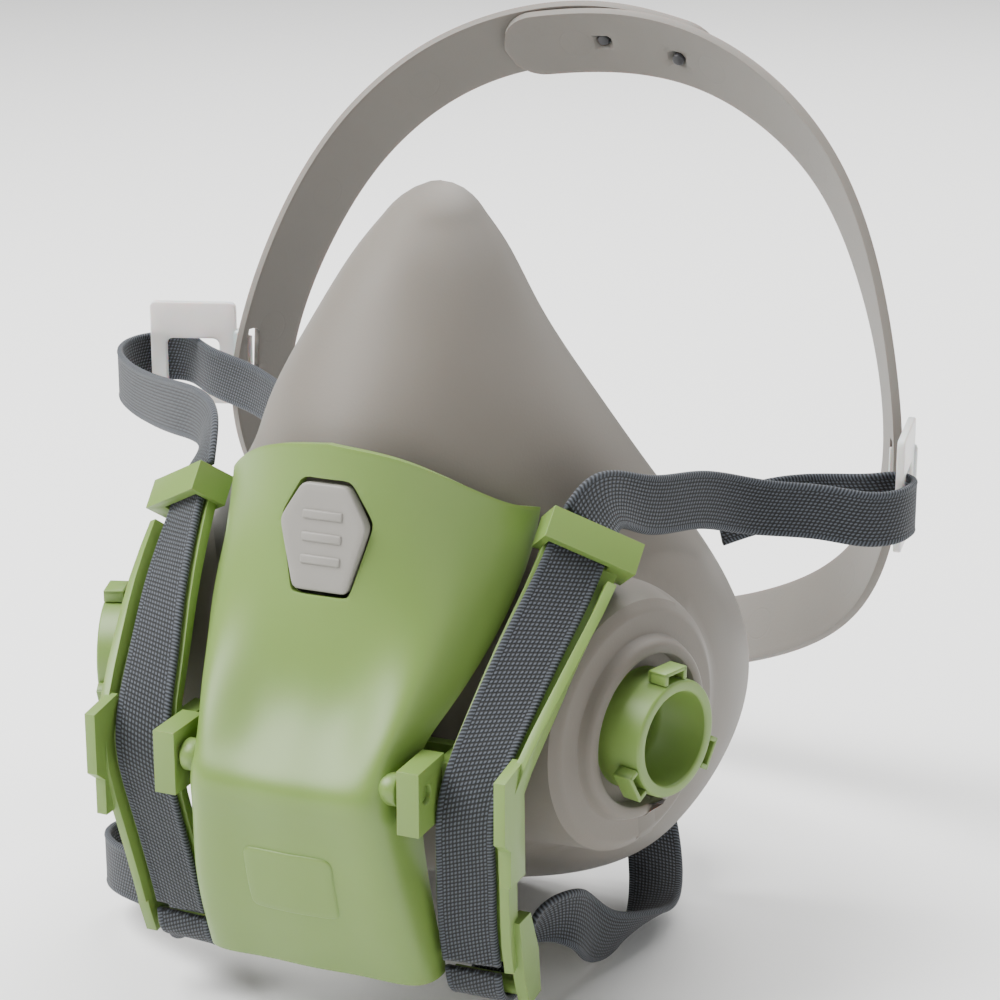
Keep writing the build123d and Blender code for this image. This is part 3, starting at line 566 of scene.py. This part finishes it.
yoke = rounded_copy("harness_yoke", "yoke_moulding", green, "mask", 0.8)
# the tube's wall from its root up the outside, over the mouth and down the bore
TUBE_PROFILE = [
    (10.0, -16.0), (12.0, -16.0), (12.2, -13.0), (15.9, -12.8), (16.0, -11.4), (15.6, -11.1), (13.2, -11.0),
    (12.75, -10.6), (12.6, -10.0), (12.5, -0.5), (12.3, -0.1), (12.0, 0.0), (10.5, 0.0), (10.1, -0.15),
    (10.0, -0.5), (10.0, -10.6), (9.4, -10.7), (9.4, -16.0),
]
LUG_TURNS = (90, 210, 330)
HUB_PROFILE = [(2.2, -14.4), (2.4, -14.6), (2.4, -16.0), (1.25, -16.0)]


def block(bm, size, place, bevel):
    """A block with rounded edges, its size in millimetres, put at a place."""
    made = bmesh.ops.create_cube(bm, size=1)["verts"]
    bmesh.ops.scale(bm, verts=made, vec=Vector(size) * MM)
    edges = edges_of(made)
    rounded = bmesh.ops.bevel(bm, geom=edges, offset=bevel * MM, segments=2, profile=0.5,
                              affect="EDGES", material=-1)["verts"]
    made = list(dict.fromkeys([v for v in made if v.is_valid] + list(rounded)))
    bmesh.ops.transform(bm, matrix=place, verts=made)


for side, name in ((1, "right"), (-1, "left")):
    mouth = port_place(side)
    tube = bmesh.new()
    bmesh.ops.create_circle(tube, segments=72, radius=TUBE_PROFILE[0][0] * MM)
    bmesh.ops.translate(tube, verts=tube.verts, vec=(0, 0, TUBE_PROFILE[0][1] * MM))
    bmesh.ops.transform(tube, matrix=mouth, verts=tube.verts)
    turned_wall = [(r * MM, h * MM) for r, h in TUBE_PROFILE[1:] + TUBE_PROFILE[:1]]
    drawn_in(tube, list(tube.edges), mouth, turned_wall)
    bmesh.ops.remove_doubles(tube, verts=tube.verts, dist=0.001 * MM)
    bmesh.ops.recalc_face_normals(tube, faces=tube.faces)
    # each bayonet lug is a small open box at the mouth
    for turn in LUG_TURNS:
        lug = mouth @ Matrix.Rotation(math.radians(turn), 4, "Z")
        for size, spot in (((2.6, 1.1, 4.4), (13.6, 3.0, -2.4)), ((2.6, 1.1, 4.4), (13.6, -3.0, -2.4)),
                           ((0.9, 7.1, 4.4), (14.6, 0.0, -2.4)), ((2.6, 7.1, 1.0), (13.6, 0.0, -4.3))):
            block(tube, size, lug @ Matrix.Translation(Vector(spot) * MM), 0.25)
    # the spider that holds the flap's stem
    for turn in (25, 145, 265):
        spoke = mouth @ Matrix.Rotation(math.radians(turn), 4, "Z")
        block(tube, (9.0, 1.6, 1.6), spoke @ Matrix.Translation(Vector((5.2, 0, -15.2)) * MM), 0.25)
    hub = bmesh.ops.create_circle(tube, segments=32, radius=1.25 * MM)["verts"]
    at = mouth @ Matrix.Translation(Vector((0, 0, -14.4)) * MM)
    bmesh.ops.transform(tube, matrix=at, verts=hub)
    rim = edges_of(hub)
    drawn_in(tube, rim, mouth, [(r * MM, h * MM) for r, h in HUB_PROFILE])
    port_tube = piece("port_tube_" + name, tube, green, "mask", "port_" + name)
for name in ("right", "left"):
    nut = rounded_copy("port_nut_" + name, "port_ring_nut_" + name, green, "mask", 0.3)
seat = rounded_copy("exhalation_seat", "exhalation_seat_ring", green, "mask", 0.3)

# thin silicone flaps: milky, slightly glossy
flap, tree, shader = material("silicone_valve_flap", Roughness=0.35, IOR=1.41)
shader.inputs["Subsurface Weight"].default_value = 0.3
shader.inputs["Subsurface Scale"].default_value = 0.003
place = node(tree, "TexCoord").outputs["Object"]
mottle = node(tree, "TexNoise", {"Vector": place, "Scale": 90.0, "Detail": 3.0})
tint = node(tree, "MixRGB", {0: mottle.outputs[0], 1: linear("#C9CBC2"), 2: linear("#D3D4CC")})
tree.links.new(tint.outputs[0], shader.inputs["Base Color"])
VALVES = [
    ("exhalation_valve", "exhalation_flap"), ("inhalation_valve_right", "inhalation_flap_right"),
    ("inhalation_valve_left", "inhalation_flap_left"),
]
for source, body in VALVES:
    rounded_copy(source, source + "_flap", flap, body, 0.2)

# ---------------------------------------------------------------- webbing
# Half-inch woven elastic: slate polyester yarns over rubber cores in a steep twill, with
# a lighter corded selvedge along each edge. The straps are cut from the roll. Painted shade
# darkens the yarns to near black in the gaps of the weave.
WEB_WIDTH = 12.7
WEB_THICKNESS = 1.3
CORD_R = 0.78                  # half thickness of the selvedge cord
COLUMN_PITCH = 0.80            # one column of stitches across the webbing
STITCH_PITCH = 1.0             # one stitch along it
TWILL_SHIFT = 0.36             # each column's stitches sit this much of a pitch further on


def band_frames(points, across, step):
    """Points, ways across and normals, evenly spaced along a smooth band, and its length."""
    rough_length = sum((Vector(b) - Vector(a)).length for a, b in zip(points, points[1:]))
    count = int(rough_length / step)
    middle = smooth(points, count)
    steps = np.linalg.norm(np.diff(np.array(points, float), axis=0), axis=1)
    way = smooth(across, count, np.concatenate(([0], np.cumsum(steps))))
    along = np.gradient(middle, axis=0)
    along /= np.linalg.norm(along, axis=1)[:, None]
    way -= along * (way * along).sum(1)[:, None]
    way /= np.linalg.norm(way, axis=1)[:, None]
    normal = np.cross(along, way)
    run = np.concatenate(([0], np.cumsum(np.linalg.norm(np.diff(middle, axis=0), axis=1))))
    return middle, way, normal, run


def web_section():
    """Half-thickness of the webbing across its width, as a closed line of (side, height)."""
    half = WEB_WIDTH / 2
    upper = []
    for x in np.linspace(-half + 1.7, half - 1.7, 9):
        upper.append((x, WEB_THICKNESS / 2))
    for turn in np.linspace(120, -120, 9):
        a = math.radians(turn)
        upper.append((half - CORD_R + CORD_R * math.cos(a), CORD_R * math.sin(a)))
    lower = [(-x, -y) for x, y in upper]
    return upper + lower + upper[:1]


web, tree, shader = material("woven_elastic_webbing", Roughness=0.82, IOR=1.5)
shader.inputs["Sheen Weight"].default_value = 0.1
shader.inputs["Sheen Roughness"].default_value = 0.5
uv = node(tree, "UVMap", uv_map="UVMap").outputs[0]
parts = node(tree, "SeparateXYZ", {0: uv})
across_mm = node(tree, "Math", {0: parts.outputs[0], 1: 1000.0}, operation="MULTIPLY").outputs[0]
along_mm = node(tree, "Math", {0: parts.outputs[1], 1: 1000.0}, operation="MULTIPLY").outputs[0]
column = node(tree, "Math", {0: across_mm, 1: COLUMN_PITCH}, operation="DIVIDE").outputs[0]
which = node(tree, "Math", {0: column}, operation="FLOOR").outputs[0]
shift = node(tree, "Math", {0: which, 1: TWILL_SHIFT}, operation="MULTIPLY").outputs[0]
# each stitch leans a little across its column
lean = node(tree, "Math", {0: column, 1: which}, operation="SUBTRACT").outputs[0]
lean = node(tree, "Math", {0: lean, 1: 0.45, 2: shift}, operation="MULTIPLY_ADD").outputs[0]
stitch = node(tree, "Math", {0: along_mm, 1: STITCH_PITCH}, operation="DIVIDE").outputs[0]
stitch = node(tree, "Math", {0: stitch, 1: lean}, operation="ADD").outputs[0]
wave_u = node(tree, "Math", {0: column, 1: math.pi}, operation="MULTIPLY").outputs[0]
wave_u = node(tree, "Math", {0: wave_u}, operation="SINE").outputs[0]
wave_u = node(tree, "Math", {0: wave_u}, operation="ABSOLUTE").outputs[0]
wave_v = node(tree, "Math", {0: stitch, 1: math.pi}, operation="MULTIPLY").outputs[0]
wave_v = node(tree, "Math", {0: wave_v}, operation="SINE").outputs[0]
wave_v = node(tree, "Math", {0: wave_v}, operation="ABSOLUTE").outputs[0]
body_yarn = node(tree, "Math", {0: wave_u, 1: wave_v}, operation="MULTIPLY").outputs[0]
# selvedge: fine wrap yarns across a cord
cord_wrap = node(tree, "Math", {0: along_mm, 1: 2 * math.pi / 0.8}, operation="MULTIPLY").outputs[0]
cord_wrap = node(tree, "Math", {0: across_mm, 1: 3.0, 2: cord_wrap}, operation="MULTIPLY_ADD").outputs[0]
cord_wrap = node(tree, "Math", {0: cord_wrap}, operation="SINE").outputs[0]
cord_wrap = node(tree, "MapRange", {0: cord_wrap, 1: -1.0, 2: 1.0, 3: 0.25, 4: 0.85}).outputs[0]
from_middle = node(tree, "Math", {0: across_mm}, operation="ABSOLUTE").outputs[0]
on_cord = node(tree, "MapRange", {0: from_middle, 1: 4.75, 2: 4.95}).outputs[0]
yarn = node(tree, "Mix", {0: on_cord, 2: body_yarn, 3: cord_wrap}).outputs[0]
fuzz = node(tree, "TexNoise", {"Vector": uv, "Scale": 2500.0, "Detail": 2.0}).outputs[0]
yarn_seen = node(tree, "Math", {0: fuzz, 1: 0.35, 2: yarn}, operation="MULTIPLY_ADD").outputs[0]
# the yarns' slate colour with painted shade: the relief that drives the bump also sets the colour, near
# black in the gaps between the stitches and between the selvedge's wraps
yarn_colour_and_gap_shade = node(tree, "ValToRGB", {0: yarn_seen})
yarn_colour_and_gap_shade.color_ramp.elements[0].position = 0.34
yarn_colour_and_gap_shade.color_ramp.elements[0].color = linear("#07080A")
yarn_colour_and_gap_shade.color_ramp.elements[1].position = 0.98
yarn_colour_and_gap_shade.color_ramp.elements[1].color = linear("#474C54")
middle_tone = yarn_colour_and_gap_shade.color_ramp.elements.new(0.62)
middle_tone.color = linear("#181B20")
bump = node(tree, "Bump", {"Height": yarn_seen, "Strength": 0.6, "Distance": 0.0003})
tree.links.new(yarn_colour_and_gap_shade.outputs[0], shader.inputs["Base Color"])
tree.links.new(bump.outputs[0], shader.inputs["Normal"])


def webbing(name, rows, step=1.0):
    """A length of webbing along rows of (point, way across), and its cut length."""
    middle, way, normal, run = band_frames([p for p, w in rows], [w for p, w in rows], step)
    section = np.array(web_section())
    grid = middle[:, None] + way[:, None] * section[None, :, :1] + normal[:, None] * section[None, :, 1:]
    uv_grid = np.stack(np.broadcast_arrays(section[None, :, 0], run[:, None]), 2)
    bm = sheet_of(grid, uv_grid)
    bmesh.ops.remove_doubles(bm, verts=bm.verts, dist=0.005 * MM)
    ends = [e for e in bm.edges if e.is_boundary]
    bmesh.ops.holes_fill(bm, edges=ends)
    bmesh.ops.recalc_face_normals(bm, faces=bm.faces)
    return bm, run[-1]


FRONT_RUN = [
    ((45.3, -63.5, 16.2), (0.79, 0.33, -0.51)), ((44.6, -70.5, 9.5), (0.85, 0.3, -0.42)),
    ((42.6, -81.2, 0), (0.93, 0.27, -0.25)), ((39.6, -93.2, -13), (0.98, 0.12, -0.1)),
    ((36.9, -102.8, -27.7), (1, 0, 0)), ((35.4, -100.8, -44), (1, 0.08, -0.04)),
    ((34.2, -97.4, -58), (1, 0.1, -0.04)), ((33.9, -94.6, -67.5), (1, 0.1, -0.02)),
]
UPPER_RIGHT = [
    ((45.55, -61, 18.2), (0.79, 0.33, -0.51)), ((46.7, -54.5, 21), (0.6, 0.3, -0.74)),
    ((50.6, -42.2, 17.7), (0.3, 0.2, -0.93)), ((56.7, -22.4, 13.6), (0.1, 0, -1)),
    ((65.8, -5.4, 7.9), (0, 0, -1)), ((77.5, 1.1, 6.3), (0, 0, -1)), ((87.2, 5.6, 4.6), (0, 0, -1)),
    ((91.6, 10.6, 4.4), (0, 0, -1)), ((93, 16.4, 4.4), (0, 0, -1)), ((92, 21.4, 4.4), (0, 0, -1)),
    ((88.2, 23.2, 4.5), (0, 0, -1)), ((83.5, 21, 4.3), (0, 0, -1)), ((72.6, 19.5, 3.3), (0, 0, -1)),
    ((61.4, 10.4, 3.3), (0, 0, -1)), ((52.4, 2.3, 1), (0, 0, -1)),
]
UPPER_LEFT = [
    ((-45.55, -61, 18.2), (-0.79, 0.33, -0.51)), ((-47.5, -53.5, 22.5), (-0.6, 0.3, -0.74)),
    ((-54, -42, 24), (-0.3, 0.2, -0.93)), ((-69, -27, 21.5), (-0.1, 0, -1)), ((-88, -8, 17.2), (0, 0, -1)),
    ((-105, 10, 14.8), (0, 0, -1)), ((-112, 20, 14.5), (0, 0, -1)), ((-114, 29, 14.5), (0, 0, -1)),
    ((-111, 36.2, 14.5), (0, 0, -1)), ((-104, 38.2, 14.5), (0, 0, -1)), ((-97.5, 34.2, 14.5), (0, 0, -1)),
    ((-91, 28.5, 14.5), (0, 0, -1)), ((-76, 20, 14), (0, 0, -1)), ((-61, 9, 13), (0, 0, -1)),
]
LOWER_RIGHT = [
    ((33.9, -93.9, -69.8), (1, 0, 0)), ((34, -92.3, -75), (1, 0, 0)), ((34.2, -88.4, -77.4), (1, 0, 0)),
    ((35, -83.8, -75.6), (1, 0.1, 0.1)), ((37.6, -78, -69.1), (0.75, 0.2, 0.6)),
    ((42.8, -68.4, -67.3), (0.1, -0.3, 0.95)), ((45.3, -52.1, -78.6), (0.2, 0.1, 0.95)),
    ((46.7, -34.4, -85), (0.6, 0.1, 0.75)), ((45.3, -16.7, -87), (0.95, 0, 0.3)),
    ((40.4, -2.1, -82), (1, 0.1, 0)), ((34.8, 7.1, -74), (0.95, 0.1, 0.2)),
    ((27.4, 14, -63.5), (0.7, 0, 0.7)), ((19.5, 20, -54), (0.6, 0, 0.75)),
]
LOWER_LEFT = [
    ((-33.9, -93.9, -69.8), (1, 0, 0)), ((-34, -92.3, -75), (1, 0, 0)), ((-34.2, -88.4, -77.4), (1, 0, 0)),
    ((-36, -83.8, -76.4), (0.75, 0, 0.6)), ((-44, -79, -74), (0, 0.1, 1)), ((-58, -74, -74), (0, 0, 1)),
    ((-69, -66, -75.5), (0, 0, 1)), ((-72.5, -56, -77), (0, 0, 1)), ((-67, -46, -78), (0, 0, 1)),
    ((-58, -37, -79.5), (0.2, 0, 1)), ((-50.5, -25, -82.5), (0.5, 0.1, 0.85)),
    ((-45, -10, -83), (0.9, 0, 0.3)), ((-38, 4, -76), (1, 0, -0.2)),
    ((-29, 13, -65), (0.75, 0, -0.65)), ((-19.5, 18.5, -54), (0.6, 0, -0.75)),
]
front_left = [((-x, y, z), (-a, b, c)) for (x, y, z), (a, b, c) in FRONT_RUN]
STRAPS = [
    ("front_strap_right", FRONT_RUN, "mask"), ("front_strap_left", front_left, "mask"),
    ("upper_strap_right", UPPER_RIGHT, "cradle"), ("upper_strap_left", UPPER_LEFT, "cradle"),
    ("lower_strap_right", LOWER_RIGHT, "mask"), ("lower_strap_left", LOWER_LEFT, "mask"),
]
# the upper straps loop round the buckles and the right lower strap's end runs to the hook; these three
# straps are put on no body
TURNS = {
    "upper_strap_right": ("cradle", "buckle_right", (0.074, 0.004, 0.002), (0.0868, 0.012, 0.002)),
    "upper_strap_left": ("cradle", "buckle_left", (-0.084, 0.012, 0.015), (-0.1, 0.022, 0.015)),
    "lower_strap_right": ("mask", "neck_hook", (0.040, 0.003, -0.078), (0.024, 0.017, -0.058)),
}
for name, rows, body in STRAPS:
    strap, length = webbing(name, rows)
    crossing = TURNS.get(name)
    strap_piece = piece("webbing_" + name, strap, web, None if crossing else body, name)
    if crossing:
        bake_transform(strap_piece)

# ---------------------------------------------------------------- head cradle
# One flat band of grey thermoplastic rubber, 18 mm by 2 mm, that runs round the head. Its
# ends lap on the crown and hold on two pegs; the buckles sit in a slot on each side.
CROWN_WIDTH = 18
CRADLE_THICKNESS = 2.0
CRADLE_RIGHT = [
    ((0, 62, 105), (0, 9, -15.2)), ((20, 60.5, 103), (-1.5, 9.5, -14.5)), ((43, 55, 94), (-4, 11, -13)),
    ((63, 47.5, 77), (-6.5, 13.5, -10)), ((77, 39, 52), (-8, 16.5, -6)), ((84, 32.5, 28), (-8, 18.2, -1.5)),
    ((86.3, 30, 8), (-7.8, 18.3, 0)), ((83, 34, -12), (-7, 16, 4)), ((70, 46, -35), (-6, 12.5, 9)),
    ((50, 57, -50), (-4, 11, 11.5)), ((25, 64.5, -59.5), (-1.5, 10.5, 12.5)),
]
CRADLE_BOTTOM = ((0, 67, -62.5), (0, 10, 13))
LAP = 2.6
CROWN_OUT = Vector((0, 0.86, 0.51))
SLOT_HEIGHTS = {"right": 7.5, "left": 17.5}
SLOT_CORNERS = [(-1.8, -7.5), (1.8, -7.5), (1.8, 7.5), (-1.8, 7.5)]
SLOT_DROP = 4.5               # the slots sit this far below the band's middle line
PEG_X = (-1, 19)
PEG_HOLE_R = 1.5
UP = Vector((0, 0, 1))


def across_x(row):
    """The same row on the left side."""
    (x, y, z), (a, b, c) = row
    return ((-x, y, z), (-a, b, c))


def lifted(row):
    """A crown row of the end that lies on the outside."""
    point, way = row
    return (tuple(Vector(point) + CROWN_OUT * LAP), way)


left_rows = [across_x(row) for row in reversed(CRADLE_RIGHT[3:])]
end_rows = [across_x(row) for row in reversed(CRADLE_RIGHT[1:3])]
end_rows += [CRADLE_RIGHT[0], ((31, 58.4, 99.6), (-2.4, 10, -14.2))]
band_rows = [((-27, 60, 101.6), (2, 9.6, -14.2))] + CRADLE_RIGHT + [CRADLE_BOTTOM] + left_rows
band_rows += [lifted(row) for row in end_rows]
band_middle = [tuple(Vector(p) + Vector(w) * 0.5) for p, w in band_rows]
middle, way, normal, run = band_frames(band_middle, [w for p, w in band_rows], 1.5)
BAND_COLUMNS = 14
offsets = np.linspace(-0.5, 0.5, BAND_COLUMNS + 1) * CROWN_WIDTH
from_start = run
from_end = run[-1] - run
half_width = CROWN_WIDTH / 2
# both ends are round
shares = []
for a, b in zip(from_start, from_end):
    near = min(a / half_width, b / half_width, 1)
    shares.append(math.sqrt(max(1 - (1 - near) ** 2, 0.0004)))
shares = np.array(shares)
grid = middle[:, None] + way[:, None] * offsets[None, :, None] * shares[:, None, None]
uv_grid = np.stack(np.broadcast_arrays(offsets[None, :] * shares[:, None], run[:, None]), 2)
band = sheet_of(grid, uv_grid)
bmesh.ops.remove_doubles(band, verts=band.verts, dist=0.03 * MM)
for name, height in SLOT_HEIGHTS.items():
    side = 1 if name == "right" else -1
    flank = [i for i in range(len(middle)) if middle[i][0] * side > 60]
    at = min(flank, key=lambda i: abs(middle[i][2] - height))
    out = Vector((normal[at][0], normal[at][1], 0)).normalized()
    if out.x * side < 0:
        out = -out
    point = Vector(middle[at]) - Vector(way[at]) * SLOT_DROP
    place = place_of(UP.cross(out), UP, out, (point.x, point.y, height))
    open_up(band, place, plate_outline(SLOT_CORNERS, 12), 6 * MM)
for x in PEG_X:
    drop = 0.12 * abs(x) + 0.0035 * x * x
    place = CROWN_OUT.to_track_quat("Z", "X").to_matrix().to_4x4()
    place.translation = Vector((x, 66.6 - 0.1 * abs(x), 97.6 - drop)) * MM
    open_up(band, place, lambda angle: PEG_HOLE_R * MM, 6 * MM)

# TPE from an eroded tool: matt grey, with the ejector pins' rings along the inside
RING_SPACING = 37.0
rubber, tree, shader = material("moulded_thermoplastic_rubber_cradle", Roughness=0.55, IOR=1.45)
shader.inputs["Subsurface Weight"].default_value = 0.08
shader.inputs["Subsurface Scale"].default_value = 0.004
place = node(tree, "TexCoord").outputs["Object"]
uv = node(tree, "UVMap", uv_map="UVMap").outputs[0]
parts = node(tree, "SeparateXYZ", {0: uv})
along = node(tree, "Math", {0: parts.outputs[1], 1: RING_SPACING * MM}, operation="DIVIDE").outputs[0]
along = node(tree, "Math", {0: along}, operation="FRACT").outputs[0]
along = node(tree, "Math", {0: along, 1: 0.5}, operation="SUBTRACT").outputs[0]
along = node(tree, "Math", {0: along, 1: RING_SPACING}, operation="MULTIPLY").outputs[0]
across = node(tree, "Math", {0: parts.outputs[0], 1: 1000.0}, operation="MULTIPLY").outputs[0]
spot = node(tree, "CombineXYZ", {0: across, 1: along}).outputs[0]
distance = node(tree, "VectorMath", {0: spot}, operation="LENGTH").outputs["Value"]
off_ring = node(tree, "Math", {0: distance, 1: 4.0}, operation="SUBTRACT").outputs[0]
off_ring = node(tree, "Math", {0: off_ring}, operation="ABSOLUTE").outputs[0]
ring = node(tree, "MapRange", {0: off_ring, 1: 0.0, 2: 0.35, 3: 1.0, 4: 0.0}).outputs[0]
mottle = node(tree, "TexNoise", {"Vector": place, "Scale": 30.0, "Detail": 4.0})
tint = node(tree, "MixRGB", {0: mottle.outputs[0], 1: linear("#6F6B65"), 2: linear("#79756E")})
faint = node(tree, "Math", {0: ring, 1: 0.3}, operation="MULTIPLY").outputs[0]
ringed = node(tree, "MixRGB", {0: faint, 1: tint.outputs[0], 2: linear("#6F6C67")})
grain = node(tree, "TexNoise", {"Vector": place, "Scale": 1600.0, "Detail": 2.0}).outputs[0]
relief = node(tree, "Math", {0: ring, 1: -1.0, 2: grain}, operation="MULTIPLY_ADD").outputs[0]
bump = node(tree, "Bump", {"Height": relief, "Strength": 0.15, "Distance": 0.0002})
tree.links.new(ringed.outputs[0], shader.inputs["Base Color"])
tree.links.new(bump.outputs[0], shader.inputs["Normal"])

cradle = piece("cradle_band", band, rubber, "cradle", "head_cradle")
solid(cradle, CRADLE_THICKNESS, 0)
soften(cradle, 0.5, 3)

# ---------------------------------------------------------------- pegs, buckles and clasp
# Small hard pieces: dark pegs through the crown, milky polypropylene buckles that swivel
# in the cradle's slots, and a dark two-part clasp behind the neck.
dark, tree, shader = material("moulded_black_acetal", Roughness=0.35, IOR=1.48)
place = node(tree, "TexCoord").outputs["Object"]
mottle = node(tree, "TexNoise", {"Vector": place, "Scale": 80.0, "Detail": 3.0})
tint = node(tree, "MixRGB", {0: mottle.outputs[0], 1: linear("#2C2C2E"), 2: linear("#38383B")})
tree.links.new(tint.outputs[0], shader.inputs["Base Color"])
rounded_copy("crown_pegs", "crown_peg_pair", dark, "cradle", 0.3)
rounded_copy("neck_catch", "neck_catch_plate", dark, "mask", 0.4)
rounded_copy("neck_hook", "neck_hook_plate", dark, "neck_hook", 0.4)

# unfilled polypropylene: milky, glossy, lets some light through
milky, tree, shader = material("natural_polypropylene_buckle", Roughness=0.3, IOR=1.49)
shader.inputs["Transmission Weight"].default_value = 0.35
shader.inputs["Subsurface Weight"].default_value = 0.35
shader.inputs["Subsurface Scale"].default_value = 0.004
place = node(tree, "TexCoord").outputs["Object"]
mottle = node(tree, "TexNoise", {"Vector": place, "Scale": 120.0, "Detail": 3.0})
tint = node(tree, "MixRGB", {0: mottle.outputs[0], 1: linear("#E4E5E3"), 2: linear("#F2F2F0")})
tree.links.new(tint.outputs[0], shader.inputs["Base Color"])
BUCKLES = {
    "right": ((87.4733, 36.424, 7.5), (0.148, -0.989, 0)),
    "left": ((-87.2633, 36.6777, 17.5), (-0.95, -0.312, 0)),
}
PLATE = (0.5, 22.5, -13.2, 13.2)       # near, far, low and high sides of the frame
WINDOW = (5.0, 18.4, -9.8, 3.8)
PLATE_THICKNESS = 1.8
KNUCKLE_SIZE = (3.0, 12.8, 3.0)        # on the band's outside
LIP_SIZE = (5.2, 11.0, 1.0)            # hooks in through the slot
LIP_REACH = 2.4


def square(bm, sides, height):
    """A square loop of edges with its sides at the given places."""
    made = bmesh.ops.create_circle(bm, segments=4, radius=1)["verts"]
    for v in made:
        right, up = v.co.x + v.co.y > 0, v.co.y - v.co.x > 0
        v.co = Vector((sides[1] if right else sides[0], sides[3] if up else sides[2], height)) * MM
    return made


for name, (knuckle, reach) in BUCKLES.items():
    reach = Vector(reach).normalized()
    place = place_of(reach, UP, reach.cross(UP), knuckle)
    buckle = bmesh.new()
    loops = square(buckle, PLATE, -PLATE_THICKNESS / 2) + square(buckle, WINDOW, -PLATE_THICKNESS / 2)
    ring = bmesh.ops.bridge_loops(buckle, edges=edges_of(loops))["faces"]
    frame_edges = list(dict.fromkeys(e for f in ring for e in f.edges))
    raised = bmesh.ops.extrude_face_region(buckle, geom=ring + frame_edges)["geom"]
    lift = [g for g in raised if isinstance(g, bmesh.types.BMVert)]
    bmesh.ops.translate(buckle, verts=lift, vec=(0, 0, PLATE_THICKNESS * MM))
    bmesh.ops.recalc_face_normals(buckle, faces=buckle.faces)
    corners = [e for e in buckle.edges if abs(e.verts[0].co.z - e.verts[1].co.z) > MM]
    bmesh.ops.bevel(buckle, geom=corners, offset=1.6 * MM, segments=4, profile=0.5,
                    affect="EDGES", material=-1)
    sharp = [e for e in buckle.edges if len(e.link_faces) == 2 and e.calc_face_angle() > 0.8]
    bmesh.ops.bevel(buckle, geom=sharp, offset=0.4 * MM, segments=3, profile=0.5,
                    affect="EDGES", material=-1)
    block(buckle, KNUCKLE_SIZE, Matrix.Identity(4), 1.2)
    bmesh.ops.transform(buckle, matrix=place, verts=buckle.verts)
    inward = Vector((-knuckle[0] * 0.92, -35, 0)).normalized()
    hook = place_of(inward, UP, inward.cross(UP), knuckle)
    block(buckle, LIP_SIZE, hook @ Matrix.Translation(Vector((LIP_REACH, 0, 0)) * MM), 0.3)
    buckle_piece = piece("buckle_frame_" + name, buckle, milky, "buckle_" + name, "buckle_" + name)
